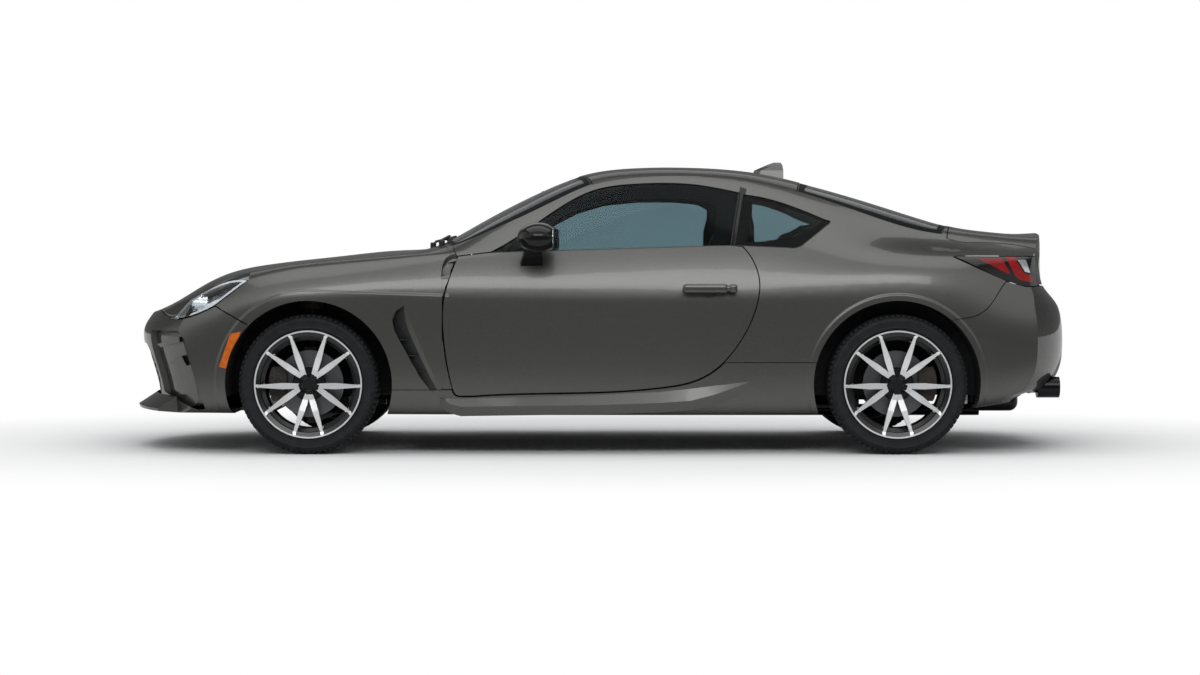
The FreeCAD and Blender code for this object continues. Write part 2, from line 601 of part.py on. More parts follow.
def structure(inside, door_face, panel_room, carrier):
    """The unitary body under the panels: floor, sills, bulkheads, pillars, rails and wheel houses."""
    top = FLOOR + 12
    tunnel = box(-640, 1150, 0, 140, FLOOR, 400)
    jamb = through(grown(door_face, 70), -1000, -700).cut(through(grown(door_face, -25), -1001, -1))
    jamb = jamb.common(box(-720, 900, 700, 1000, FLOOR, 850))
    solid = box(-640, 1150, 0, 700, FLOOR, top).fuse([
        tunnel, jamb,
        box(-905, 940, 640, 790, FLOOR, 245),
        box(-652, -640, 0, 700, FLOOR, 1000),
        box(-830, -652, 0, 600, 790, 798),
        box(-830, -822, 0, 600, 790, 1000),
        box(1140, 1150, 0, 640, FLOOR, 850),
        box(1140, 2000, 0, 600, 330, 342),
        box(1140, 1500, 0, 600, 838, 850),
        box(1988, 2000, 0, 700, 330, 750),
        box(1988, 2200, 0, 560, 722, 750),
        box(-1935, -640, 390, 466, 330, 430),
        box(-1935, -1900, 0, 600, 230, 560),
        box(-1935, -1920, 280, 320, 550, 1000),
        box(-660, -640, 390, 640, FLOOR, 440),
        box(-720, -601, 640, 832, FLOOR, 850),
        box(-720, -640, 640, 832, 850, 1000),
        box(1290, 1390, 598, 640, 460, 476),
        box(1150, 2000, 590, 602, 330, FRAME_SEAM),
        box(1150, 1620, 590, 602, FRAME_SEAM, 1000),
        box(1150, 1620, 556, 602, 838, 1000),
    ])
    for axle, inner in ((FRONT_AXLE, FRONT_HOUSE_INNER), (REAR_AXLE, REAR_HOUSE_INNER)):
        wall = arch(axle, ARCH_RADIUS + 6, inner - 6).common(box(-2200, 2200, 0, 1000, 250, 700))
        solid = solid.fuse(wall)
    tower = Part.makeCylinder(84, 150, V(STRUT_TOP.x, STRUT_TOP.y, STRUT_TOP.z - 138))
    link = Part.makeBox(60, 120, 100, V(STRUT_TOP.x - 30, STRUT_TOP.y - 200, STRUT_TOP.z - 88))
    solid = solid.fuse([tower, link])
    cuts = [arch(FRONT_AXLE, ARCH_RADIUS, FRONT_HOUSE_INNER), arch(REAR_AXLE, ARCH_RADIUS, REAR_HOUSE_INNER),
            Part.makeCylinder(78, 180, V(STRUT_TOP.x, STRUT_TOP.y, STRUT_TOP.z - 180 + SEAT)),
            box(-700, 1151, -1, 128, 150, 388), left_of(grown(door_face, 9), DOOR_INNER - 20),
            box(1215, 1385, 603, 645, 200, 460 - SEAT)]
    pads = [box(x, x + 60, 645, 695, FLOOR - JACK_PAD, FLOOR + 2) for x in JACK_PLACES]
    solid = solid.cut(cuts + panel_room).common(inside)
    solid = solid.fuse(pads + [roof_frame(inside), carrier] + hinge_pins())
    whole = both(solid)
    above = Part.makeBox(4000, 2400, 1000, V(X(-800), -1200, FRAME_SEAM))
    ahead = Part.makeBox(3000, 2400, 2000, V(X(-722) - 3000, -1200, 0))
    ahead = ahead.cut([both(box(-840, -720, 0, 605, 785, 1000)), both(box(-910, -720, 620, 800, 150, 248))])
    roof = whole.common(at(above, 0, 0, SEAT))
    front = whole.cut(above).common(at(ahead, -SEAT, 0, 0))
    return {"floor_pan": whole.cut([above, ahead]), "front_frame": front, "roof_frame": roof}


def roof_frame(inside):
    """The pillars and rails that carry the roof panel and the fixed glass, on the left."""
    bands = [box(-60, 900, 500, 572, 900, 1400), box(-60, 0, 0, 560, 900, 1400), box(870, 930, 0, 540, 900, 1400)]
    for shape_ring in (WINDSCREEN, BACKLIGHT):
        face = ring(**shape_ring)
        bands.append(through(grown(face, 32), 800, 1400).cut(through(grown(face, -34), 700, 1500)))
    half = Part.makeBox(6000, 1000, 2000, V(-3000, -1000, 0))
    shell = inside.cut(body_solid(FRAME_DEPTH)).common(half)
    return shell.common(bands[0].fuse(bands[1:]))


def lamp_carrier(lamp_face, bonnet_zone):
    """The left headlamp's housing: rim, back panel and projector, on a plate from the front rail."""
    room = body_solid(LENS + SEAT)
    back = body_solid(LAMP_DEPTH)
    shell = room.cut(body_solid(VENT_WALL)).common(left_of(grown(lamp_face, -2), 560))
    hollow = left_of(grown(lamp_face, -10), 540).cut(back).cut(bonnet_zone)
    plate = back.common(box(-1830, -1818, 400, 760, 400, 760))
    projector = Part.makeCylinder(34, 70, V(X(-1795), -690, Z(655)), V(1, 0, 0)).common(body_solid(8))
    return shell.cut(hollow).fuse([plate, projector]).cut(bonnet_zone.cut(back))


def hinge_pins():
    """The left door's hinges: an arm from the pillar, its eye and its pin."""
    shapes = []
    for z in HINGE_HEIGHTS:
        place = DOOR_HINGE + V(0, 0, z)
        shapes.append(Part.makeCylinder(PIN_RADIUS, 46, place - V(0, 0, 23)))
        shapes.append(Part.makeCylinder(EYE_RADIUS, 10, place - V(0, 0, 5)))
        shapes.append(Part.makeBox(2 * EYE_RADIUS, HINGE_ARM, 10, place - V(EYE_RADIUS, 0, 5)))
    return shapes


def hinge_slots():
    """The room in the left door for its hinges while it swings, and the bores for their pins."""
    shapes = []
    for z in HINGE_HEIGHTS:
        place = DOOR_HINGE + V(0, 0, z)
        shapes.append(Part.makeCylinder(PIN_RADIUS + SEAT, 46 + 2 * SEAT, place - V(0, 0, 23 + SEAT)))
        shapes.append(Part.makeCylinder(EYE_RADIUS + 3, 20, place - V(0, 0, 10)))
        shapes.append(Part.makeBox(130 + EYE_RADIUS + 5, HINGE_ARM + 8, 20, place - V(130, 8, 10)))
    return shapes


def front_lip():
    """The wedge under the nose, thick at the bumper and thin at its edge."""
    rings = []
    for w in (-640, -520, -380, -200, 0, 200, 380, 520, 640):
        lead = -2120 + NOSE_BEND * w * w
        face = -2041 + NOSE_BEND * w * w
        points = [(lead, 190), (lead + 4, 178), (face + 90, 166), (face + 90, 200), (face + 6, 246)]
        rings.append(Part.makePolygon([V(X(x), Y(w), Z(z)) for x, z in points + points[:1]]))
    return Part.makeLoft(rings, True, False).cut(body_solid(-SEAT))


VENT_SECTIONS = [
    # height, front edge, rear edge, depth
    (250, -705, -686, 5), (278, -741, -697, 9), (335, -785, -722, 22), (413, -829, -757, 27),
    (509, -881, -797, 30), (544, -898, -812, 31), (588, -907, -829, 29), (627, -890, -842, 18), (650, -856, -850, 2),
]
VENT_FINS = [(363, -789), (432, -831), (501, -870)]
SILL_SECTIONS = [
    # along the car, top height, edge height, edge half width
    (-700, 252, 246, 850), (-655, 252, 221, 860), (-608, 250, 209, 868), (-400, 254, 212, 870),
    (0, 268, 217, 870), (262, 287, 226, 870), (396, 311, 235, 869), (501, 328, 262, 866), (606, 337, 299, 860),
    (650, 336, 317, 853), (692, 332, 330, 846),
]
BUMPER_POCKET = polygon("side", (-2150, 528), (-1975, 534), (-1845, 538), (-1815, 500), (-1728, 195),
                        (-1760, 190), (-1960, 262), (-2150, 280))
BUMPER_FINS = [polygon("side", (-1971, 473), (-1839, 512), (-1836, 489), (-1949, 460)),
               polygon("side", (-1910, 390), (-1831, 428), (-1806, 386))]


def vent_wedge():
    """What the left fender's slanted outlet takes away: deep at its front edge, flush at its rear edge."""
    rings = []
    for z, front, rear, depth in VENT_SECTIONS:
        skin = 852 + 0.028 * (z - 250)
        points = [(front, skin - depth), (front, 920), (rear, 920), (rear, skin)]
        rings.append(Part.makePolygon([V(X(x), -Y(w), Z(z)) for x, w in points + points[:1]]))
    return Part.makeLoft(rings, True, True)


def vent_fins():
    """The three short blades across the outlet."""
    return [box(x - 6, x + 30, 826, 860, z - 2, z + 2) for z, x in VENT_FINS]


def sill_blade():
    """The blade along the foot of the left door, from the outlet to a point before the rear wheel."""
    rings = []
    for x, top, edge, w in SILL_SECTIONS:
        points = [(828, top), (836, top), (w, edge), (w - 16, edge - 42), (828, edge - 42)]
        rings.append(Part.makePolygon([V(X(x), -Y(a), Z(z)) for a, z in points + points[:1]]))
    return Part.makeLoft(rings, True, True)


def grille_holes():
    """The openings of the grille's mesh: pointed cells in rows, each row half a cell along from the last."""
    cells = []
    for row in range(7):
        z = 234 + 34 * row
        for column in range(-7, 8):
            w = 62 * column + (31 if row % 2 else 0)
            cell = polygon("front", (w - 26, z), (w - 16, z + 14), (w + 16, z + 14), (w + 26, z), (w + 16, z - 14),
                           (w - 16, z - 14))
            cells.append(through(cell, -2300, -1500))
    return Part.makeCompound(cells)


GRILLE = [
    [(-330, 470), (330, 470)],
    [(330, 470), (430, 392), (405, 250)],
    [(405, 250), (330, 214)],
    [(330, 214), (-330, 214)],
    [(-330, 214), (-405, 250)],
    [(-405, 250), (-430, 392), (-330, 470)],
]
DIFFUSER = polygon("side", (2125, 468), (1945, 222), (1800, 120), (2300, 120), (2300, 468))


def mirror_and_handle():
    """The door mirror on its stalk and the grab handle, both on the left door's skin."""
    head = Part.makeSphere(1)
    grow = FreeCAD.Matrix()
    grow.scale(92, 112, 66)
    head = head.transformGeometry(grow)
    head = at(head, X(-268), -912, Z(947))
    head = head.cut(Part.makeBox(100, 400, 300, V(X(-205), -1100, 800)))
    foot = Part.makeLoft([
        Part.makePolygon([V(X(x), -806, Z(z)) for x, z in ((-352, 806), (-250, 812), (-250, 838), (-352, 830),
                                                       (-352, 806))]),
        Part.makePolygon([V(X(x), -905, Z(z)) for x, z in ((-318, 905), (-252, 908), (-252, 935), (-318, 930),
                                                       (-318, 905))]),
    ], True)
    mirror = head.fuse(foot)
    bar = Part.makeBox(232, 26, 24, V(X(360), -905, Z(713)))
    bar = bar.makeFillet(10, bar.Edges)
    feet = [Part.makeBox(24, 60, 18, V(X(x), -895, Z(716))) for x in (368, 560)]
    handle = bar.fuse(feet)
    clear = body_solid(-SEAT)
    return Part.makeCompound([largest(mirror.cut(clear)), largest(handle.cut(clear))])


def antenna_fin():
    rings = []
    for z, x0, x1, w in ((1225, 700, 850, 34), (1262, 716, 850, 26), (1288, 775, 846, 12), (1299, 806, 838, 5)):
        rings.append(Part.makePolygon([V(X(x), y, Z(z)) for x, y in
                                       ((x0, 0), (x0 + 30, -w), (x1, -w), (x1, w), (x0 + 30, w), (x0, 0))]))
    return Part.makeLoft(rings, True, True).cut(body_solid(-SEAT))


def wheel_outline(r, angle):
    return V(r * math.cos(math.radians(angle)), 0, r * math.sin(math.radians(angle)))


def arm(angle, lean):
    """One straight spoke, as a flat outline in the wheel's plane, from the hub to the rim."""
    inner, outer = wheel_outline(26, angle), wheel_outline(224, angle + lean)
    along = (outer - inner).normalize()
    across = V(-along.z, 0, along.x)
    widths = [(0, 20), (60, 26), (95, 27), (199, 11)]
    side_a = [inner + along * d + across * (w / 2) for d, w in widths]
    side_b = [inner + along * d - across * (w / 2) for d, w in reversed(widths)]
    return Part.Face(Part.makePolygon(side_a + side_b + [side_a[0]]))


def alloy_wheel(disc_radius):
    """Rim with five pairs of spokes, and the brake disc behind them, on one hub; outer face to -Y."""
    barrel = turned(corners(
        (236, -104), (236, -97), (219, -92), (217, -76), (200, -62), (198, 20), (215, 60), (217, 90), (236, 97),
        (236, 104), (229, 104), (209, 88), (206, 62), (191, 22), (193, -60), (209, -74), (211, -96), (229, -104)))
    bowl = turned(corners((0, -66), (34, -66), (70, -70), (120, -82), (180, -92), (216, -98), (216, -78),
                          (180, -70), (120, -56), (80, -36), (0, -36)))
    hub = turned(corners((0, -56), (68, -56), (74, -50), (74, -28), (0, -28)))
    spokes = []
    for k in range(5):
        for lean in (-16, 16):
            spokes.append(arm(54 + 72 * k, lean))
    bars = spokes[0].fuse(spokes[1:])
    bars = at(bars, 0, -120, 0).extrude(V(0, 100, 0)).common(bowl)
    lug_holes = [Part.makeCylinder(12, 40, wheel_outline(50, 18 + 72 * k) + V(0, -90, 0), V(0, 1, 0))
                 for k in range(5)]
    cap = turned(corners((0, -72), (26, -72), (30, -68), (30, -50), (0, -50)))
    disc = turned(corners((0, -28.5), (78, -28.5), (78, -8), (disc_radius, -8), (disc_radius, 16), (70, 16),
                          (70, -20), (0, -20)))
    axle = Part.makeCylinder(28, 50.7 + 24, V(0, -24, 0), V(0, 1, 0))
    return barrel.fuse([bars, hub]).cut(lug_holes).fuse([cap, disc, axle])


def tyre():
    """A hollow tyre round the axle, from (radius, distance) corners of its wall."""
    half, tread = TYRE_WIDTH / 2, TYRE_RADIUS
    return turned(corners(
        (237, -96), (262, -half), (289, -103), (tread, -84), (tread, 84), (289, 103), (262, half), (237, 96),
        (219, 88), (217.4, 76), (232, 62), (290, 78), (290, -78), (232, -62), (217.4, -76), (219, -88)))


def caliper(disc_radius, angle):
    """A brake caliper astride the disc, its middle at an angle round the axle."""
    body = Part.makeBox(78, 84, 150, V(disc_radius - 48, -38, -75))
    body = body.common(Part.makeCylinder(disc_radius + 32, 200, V(0, -100, 0), V(0, 1, 0)))
    slot = Part.makeCylinder(disc_radius + 7, 36, V(0, -14, 0), V(0, 1, 0))
    body = body.cut(slot)
    body.rotate(V(0, 0, 0), V(0, -1, 0), angle)
    return body


def hub_carrier(radius):
    """The round housing of a wheel's spindle, before its bore."""
    return Part.makeCylinder(radius, 44, V(0, 23, 0), V(0, 1, 0))


def spindle_bore():
    """The room for the spindle of a left wheel in the part that carries it."""
    return Part.makeCylinder(28 + SEAT, 60, V(0, -9, 0), V(0, 1, 0))


def front_knuckle(disc_radius):
    """What turns with a steered wheel: hub carrier, caliper and strut."""
    ball = BALL_JOINT - V(FRONT_AXLE, -FRONT_TRACK / 2, WHEEL_HEIGHT)
    top = STRUT_TOP - V(FRONT_AXLE, -FRONT_TRACK / 2, WHEEL_HEIGHT)
    lower = Part.makeBox(56, 40, 96, V(-28, 26, -121)).cut(Part.makeSphere(17 + SEAT, ball))
    upper = Part.makeBox(56, 44, 130, V(-28, 26, 30))
    bracket = Part.makeBox(56, 80, 60, V(-28, 60, 100))
    foot = V(0, 126, 90)
    head = V(0, top.y, top.z - 150)
    tube = Part.makeCylinder(24, (head - foot).Length, foot, head - foot)
    rod = Part.makeCylinder(11, (top - head).Length - 12, head, top - head)
    knob = Part.makeSphere(12, top - V(0, 0, 12))
    spring = Part.makeCylinder(60, 128, head + V(0, 0, 4))
    bridge = Part.makeBox(90, 20, 60, V(-120, 27, -30))
    clamp = caliper(disc_radius, 180)
    lean = (top - ball).normalize()
    bearing = Part.makeCylinder(20, 14, top - lean * 26, lean)
    whole = hub_carrier(60).fuse([lower, upper, bracket, tube, rod, knob, spring, bridge, clamp, bearing])
    return whole.cut(spindle_bore())


def running_gear():
    parts = {}
    front = alloy_wheel(147)
    rear = alloy_wheel(145)
    rubber = tyre()
    places = {
        "front_left": (FRONT_AXLE, -FRONT_TRACK / 2, front),
        "rear_left": (REAR_AXLE, -REAR_TRACK / 2, rear),
    }
    for name, (x, y, rim) in places.items():
        other = name.replace("left", "right")
        parts["wheel_" + name] = at(rim, x, y, WHEEL_HEIGHT)
        parts["wheel_" + other] = mirrored(parts["wheel_" + name])
        parts["tyre_" + name] = at(rubber, x, y, WHEEL_HEIGHT)
        parts["tyre_" + other] = mirrored(parts["tyre_" + name])
    knuckle = at(front_knuckle(147), FRONT_AXLE, -FRONT_TRACK / 2, WHEEL_HEIGHT)
    parts["knuckle_left"] = knuckle
    parts["knuckle_right"] = mirrored(knuckle)
    parts["front_suspension"] = both(front_suspension())
    parts["rear_suspension"] = both(rear_suspension())
    return parts


def front_suspension():
    """Cross-member, lower arm and ball joint of the left side."""
    arm_height = 156
    wishbone = through(polygon("plan", (-1305, 400), (-1300, 732), (-1290, 742), (-1260, 742), (-1250, 732),
                               (-1180, 400), (-1020, 400), (-1020, 360), (-1305, 360)), arm_height, arm_height + 22)
    wishbone.rotate(V(0, -400, arm_height + 11), V(1, 0, 0), ARM_DROOP)
    ball = Part.makeSphere(17, BALL_JOINT).fuse(Part.makeCylinder(9, 52, BALL_JOINT - V(0, 0, 50)))
    cross = Part.makeBox(200, 400, 74, V(FRONT_AXLE - 60, -400, arm_height + 2))
    legs = Part.makeBox(60, 60, Z(330) - SEAT - 160, V(FRONT_AXLE - 20, -452, 160))
    return cross.fuse([wishbone, ball, legs])


def rear_suspension():
    """Subframe, final drive, shaft, links, damper and hub carrier of the left side."""
    x, y = REAR_AXLE, -REAR_TRACK / 2
    carrier = at(hub_carrier(58).fuse(Part.makeBox(60, 40, 170, V(-30, 26, -100))), x, y, WHEEL_HEIGHT)
    clamp = at(caliper(145, 0), x, y, WHEEL_HEIGHT)
    bridge = Part.makeBox(100, 20, 60, V(x + 20, y + 28, WHEEL_HEIGHT - 30))
    lower_link = Part.makeBox(50, 400, 24, V(x - 25, y + 50, WHEEL_HEIGHT - 100))
    upper_link = Part.makeBox(40, 358, 20, V(x - 20, y + 52, WHEEL_HEIGHT - 30))
    shaft = Part.makeCylinder(18, 700, V(x, y + 60, WHEEL_HEIGHT), V(0, 1, 0))
    floor = Z(330) - SEAT
    frame = [Part.makeBox(60, 400, 60, V(x + dx, -400, 220)) for dx in (-135, 150)]
    rail = Part.makeBox(345, 60, floor - 220, V(x - 135, -420, 220))
    drive = Part.makeCylinder(80, 130, V(x, -130, WHEEL_HEIGHT - 65), V(0, 1, 0))
    nose = Part.makeBox(260, 60, 70, V(x - 200, -60, 200))
    seat_height = Z(460) - SEAT
    damper = Part.makeCylinder(16, seat_height - 216, V(x + 40, y + 149, 216), V(0, 0, 1))
    foot = Part.makeBox(70, 30, 24, V(x, y + 134, 206))
    whole = carrier.fuse([clamp, bridge, lower_link, upper_link, shaft, rail, drive, nose, damper, foot] + frame)
    return whole.cut(at(spindle_bore(), x, y, WHEEL_HEIGHT))


STEERING_CENTRE = V(-150, -360, 730)
STEERING_TILT = 24.0
COLUMN_END = 135.0


def on_column(shape):
    """A shape drawn about Z, laid along the steering column with its top towards the driver."""
    laid = shape.copy()
    laid.rotate(V(0, 0, 0), V(0, 1, 0), 90 - STEERING_TILT)
    laid.translate(STEERING_CENTRE)
    return laid


def cabin_parts():
    parts = {}
    seat = Part.makeBox(470, 440, 110, V(-140, -590, 250))
    seat = seat.makeFillet(30, seat.Edges)
    back = Part.makeBox(110, 430, 560, V(330, -585, 300))
    back = back.makeFillet(30, back.Edges)
    back.rotate(V(330, 0, 330), V(0, 1, 0), 16)
    head = Part.makeBox(70, 250, 190, V(352, -495, 850))
    head = head.makeFillet(22, head.Edges)
    head.rotate(V(330, 0, 330), V(0, 1, 0), 16)
    base = box(-60, 290, 170, 550, FLOOR + 12 + SEAT, 270)
    parts["front_seats"] = pair(seat.fuse([back, head, base]))
    over_tunnel = box(600, 1150, 0, 140 + SEAT, 100, 400 + SEAT)
    cushion = box(620, 1020, 0, 560, FLOOR + 12 + SEAT, 400)
    rest = box(1000, 1100, 0, 560, FLOOR + 12 + SEAT, 820)
    parts["rear_seat"] = both(cushion.fuse(rest).cut(over_tunnel))
    dash = outline("side", [(-600, 640), (-600, 838)], [(-600, 838), (-480, 860), (-340, 830), (-290, 760)],
                   [(-290, 760), (-330, 660)], [(-330, 660), (-600, 640)])
    dash = through(dash, -690, 690)
    pod = box(-639.7, -599, 0, 600, 640, 830)
    middle = box(-560, 560, 0, 110, 400 + SEAT, 470).fuse(box(-560, -330, 0, 130, 400 + SEAT, 700))
    lever = Part.makeCylinder(14, 150, V(-60, 0, 465), V(0, 0, 1)).fuse(Part.makeSphere(26, V(-60, 0, 620)))
    shroud = Part.makeCylinder(30, 150, V(0, 0, -COLUMN_END - SEAT - 150))
    parts["dashboard"] = dash.fuse([both(pod), both(middle), lever, on_column(shroud)])
    return parts


def steering_wheel():
    """The rim, three spokes and boss, built flat and then tilted towards the driver."""
    rim = Part.makeTorus(172, 14)
    boss = Part.makeCylinder(52, 40, V(0, 0, -30))
    spokes = [Part.makeBox(130, 34, 16, V(40, -17, -12)) for _ in range(3)]
    for spoke, angle in zip(spokes, (0, 180, -90)):
        spoke.rotate(V(0, 0, 0), V(0, 0, 1), angle)
    column = Part.makeCylinder(20, COLUMN_END, V(0, 0, -COLUMN_END))
    return on_column(rim.fuse([boss, column] + spokes))


def under_parts():
    parts = {}
    block = Part.makeBox(560, 640, 330, V(X(-1480), -320, 232 + SEAT))
    gearbox = Part.makeBox(640, 220, 170, V(X(-960), -110, 200))
    parts["engine"] = block.fuse(gearbox)
    start = X(1670)
    silencer = Part.makeBox(230, 620, 130, V(start, -310, 160))
    silencer = silencer.makeFillet(40, silencer.Edges)
    outlet = Part.makeCylinder(25, 160, V(start + 200, -455, 258), V(0, 1, 0))
    tail = Part.makeCylinder(25, 100, EXHAUST_PLACE - V(95, 0, 0), V(1, 0, 0))
    tip = Part.makeCylinder(47, 100, EXHAUST_PLACE, V(1, 0, 0))
    tip = tip.cut(Part.makeCylinder(43, 90, EXHAUST_PLACE + V(15, 0, 0), V(1, 0, 0)))
    hanger = Part.makeBox(40, 40, Z(330) - SEAT - 270, V(start + 100, -250, 270))
    pipe = Part.makeCylinder(26, 2100, V(start + 60 - 2100, -200, 162), V(1, 0, 0))
    parts["exhaust"] = silencer.fuse([both(outlet), both(tail), both(tip), both(hanger), pipe])
    return parts


def main():
    parts = body_parts()
    parts.update(running_gear())
    parts.update(cabin_parts())
    parts["steering_wheel"] = steering_wheel()
    parts.update(under_parts())
    parts["front_lip"] = front_lip()
    parts["antenna_fin"] = antenna_fin()
    parts["mirror_and_handle_left"] = mirror_and_handle()
    parts["mirror_and_handle_right"] = mirrored(parts["mirror_and_handle_left"])
    os.makedirs("parts", exist_ok=True)
    for name, shape in parts.items():
        solids = [solid for solid in shape.Solids if solid.Volume > CRUMB]
        shape = solids[0] if len(solids) == 1 else Part.makeCompound(solids)
        shape.exportStep(os.path.join("parts", name + ".step"))


if __name__ == "__main__":
    main()
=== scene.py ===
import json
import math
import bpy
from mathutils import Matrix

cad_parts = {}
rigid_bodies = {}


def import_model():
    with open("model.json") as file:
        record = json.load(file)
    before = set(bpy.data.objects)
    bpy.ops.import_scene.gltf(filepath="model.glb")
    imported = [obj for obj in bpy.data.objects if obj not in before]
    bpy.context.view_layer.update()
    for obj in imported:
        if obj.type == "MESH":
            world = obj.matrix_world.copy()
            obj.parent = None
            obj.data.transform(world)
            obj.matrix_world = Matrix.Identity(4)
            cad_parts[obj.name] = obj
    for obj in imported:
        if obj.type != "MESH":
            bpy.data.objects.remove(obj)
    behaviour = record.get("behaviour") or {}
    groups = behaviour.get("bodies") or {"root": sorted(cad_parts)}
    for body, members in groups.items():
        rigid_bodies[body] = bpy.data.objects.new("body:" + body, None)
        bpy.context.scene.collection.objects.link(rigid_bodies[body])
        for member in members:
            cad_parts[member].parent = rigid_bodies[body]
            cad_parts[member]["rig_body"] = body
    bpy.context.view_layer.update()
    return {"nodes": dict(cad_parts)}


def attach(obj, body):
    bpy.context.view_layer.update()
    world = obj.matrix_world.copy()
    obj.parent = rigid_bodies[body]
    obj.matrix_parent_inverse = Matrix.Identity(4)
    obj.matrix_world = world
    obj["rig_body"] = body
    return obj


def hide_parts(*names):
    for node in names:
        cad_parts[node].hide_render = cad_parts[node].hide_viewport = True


bl_info = {
    "name": "Two-door coupe",
    "version": (1, 0, 0),
    "blender": (4, 5, 0),
    "location": "View3D > Sidebar > Coupe",
    "description": "Dresses the packed coupe with its finishes, lamps, tyres, cabin trim and studio",
    "category": "Object",
}

import bmesh
import bpy
from bpy.props import FloatProperty, PointerProperty, StringProperty
from mathutils import Euler, Matrix, Vector
from mathutils.bvhtree import BVHTree
from mathutils.interpolate import poly_3d_calc

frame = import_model()
NODES = frame["nodes"]
SIDES = (("left", -1), ("right", 1))
FRONT_AXLE = -1.2775
REAR_AXLE = 1.2975
WHEEL_HEIGHT = 0.306
WHEELS = [(f"{end}_{side}", sign, axle, track) for side, sign in SIDES
          for end, axle, track in (("front", FRONT_AXLE, 0.76), ("rear", REAR_AXLE, 0.775))]

# Side-view outlines (along the car, height) in metres
AMBER_MARKER = [(-1.571, 0.537), (-1.617, 0.528), (-1.669, 0.383), (-1.638, 0.375), (-1.60, 0.46)]
PILLAR_TRIM = [(0.545, 0.895), (0.590, 0.895), (0.650, 1.165), (0.622, 1.175)]
# The deep front of the fender vent's recess, painted black as painted shade
VENT_SHADE = [(-0.700, 0.245), (-0.7435, 0.278), (-0.7875, 0.335), (-0.8315, 0.413), (-0.8835, 0.509),
              (-0.9005, 0.544), (-0.9095, 0.588), (-0.8925, 0.627), (-0.8585, 0.652), (-0.857, 0.627),
              (-0.853, 0.588), (-0.840, 0.544), (-0.8254, 0.509), (-0.782, 0.413), (-0.744, 0.335), (-0.712, 0.278),
              (-0.694, 0.245)]
DOOR_HINGE = (-0.6325, 0.846)
# The side window's opening: outer and inner edges of the dark pillar and rail trim inside it, widened past real trim
# as painted shade of the cabin
SIDE_OPENING = [((-0.41, 0.900), (-0.35, 0.900)), ((-0.355, 0.958), (-0.30, 0.955)),
                ((-0.27, 1.024), (-0.225, 1.010)), ((-0.155, 1.092), (-0.12, 1.065)),
                ((-0.01, 1.148), (0.02, 1.106)), ((0.15, 1.178), (0.18, 1.122)), ((0.32, 1.180), (0.35, 1.122)),
                ((0.46, 1.168), (0.47, 1.110)), ((0.58, 1.145), (0.515, 1.085)), ((0.66, 1.10), (0.515, 1.040)),
                ((0.68, 1.00), (0.500, 0.980)), ((0.68, 0.900), (0.500, 0.900))]
LAMP_RED = [(1.662, 0.856), (1.770, 0.856), (1.803, 0.790), (1.796, 0.786)]
LAMP_HOOK = [(1.786, 0.866), (1.840, 0.866), (1.835, 0.848), (1.866, 0.792), (1.900, 0.781), (1.926, 0.758),
             (1.926, 0.745), (1.845, 0.762), (1.826, 0.780), (1.804, 0.826)]
LAMP_CLEAR = [(1.842, 0.850), (1.882, 0.850), (1.897, 0.792), (1.873, 0.797)]
LAMP_LOOK = [(-1.99, 0.585), (-1.90, 0.600), (-1.80, 0.650), (-1.66, 0.740), (-1.62, 0.775), (-1.64, 0.745),
             (-1.80, 0.622), (-1.90, 0.585)]

# Half of the tyre's wall as (radius, distance from its middle): the outside, and the inside from the other bead
TYRE_OUTSIDE = [(0.2375, -0.0965), (0.243, -0.1035), (0.2465, -0.1040), (0.2480, -0.1062), (0.2515, -0.1062),
                (0.2530, -0.1052), (0.262, -0.1075), (0.274, -0.1062), (0.2755, -0.1072), (0.2775, -0.1072),
                (0.279, -0.1050), (0.287, -0.1015), (0.2945, -0.0950), (0.2985, -0.0855), (0.2992, -0.05)]
TYRE_INSIDE = [(0.2195, 0.0875), (0.232, 0.062), (0.290, 0.078)]
TREAD_PITCHES = 76
TREAD_RADIUS = 0.3018
STUD_CIRCLE = 0.050
SPOKE_ROOT = 0.026        # from the axle to the spokes' root
SPOKE_HALF = 0.0135       # half a spoke's width up to its shoulder
SPOKE_SHOULDER = 0.095
SPOKE_TAPER = 0.077
SPOKE_LEAN = math.radians(18.06)
RIM_LIP = 0.2285          # radius from which the rim's face is machined
DISC_RING = (0.072, 0.16)

# Lips round the wheel arches
FRONT_LIP, REAR_LIP = 0.411, 0.394
LIP_REACH = 0.9           # how far the front lip's line runs on towards the rear
LIP_END = -0.66           # where the door cuts it off
LIP_FALL = 0.035
LIP_HALF = 0.007
LIP_DEPTH = 0.0045
SIDE_HALF = 0.74          # what lies further out is the body's side

MERGE = 1e-6              # corners nearer than this are one
SEAL_RADIUS = 0.0028
SCREEN_BAND = 0.050       # width of the black band printed round the screens
QUARTER_BAND = 0.055
SEAT_MIDDLE = -0.370      # the left seat's middle across the car
SEAT_LEAN = math.radians(16)
CLOTH_FRAMES = 14
SEAM_REACH = 0.012
SEAM_DEPTH = 0.005
WIPER_STEPS = 8
BAND_STEPS = 4
RETURN_FOOT, RETURN_PITCH, RETURN_STEPS = 0.270, 0.009, 66   # heights at which the fender's return is taken
RETURN_GAP = 0.004
SWING_GAP = 0.006
BESIDE, ABOVE = -1.2, 1.4                                    # where rays start, beside the car and over it

# Finishes that several pieces take
PAINT = "metallic_lacquered_steel"
BLACK = "moulded_black_polypropylene"
GREY = "cabin_grey_polypropylene"
GLOSS = "gloss_black_abs"
SILVER = "aluminised_reflector"
COATING = "stone_guard_coating"

MATH = "ShaderNodeMath"
MIX = "ShaderNodeMixShader"
NOISE = "ShaderNodeTexNoise"
RAMP = "ShaderNodeValToRGB"
RANGE = "ShaderNodeMapRange"       # its inputs: the value, from low and high, to low and high
SPLIT = "ShaderNodeSeparateXYZ"


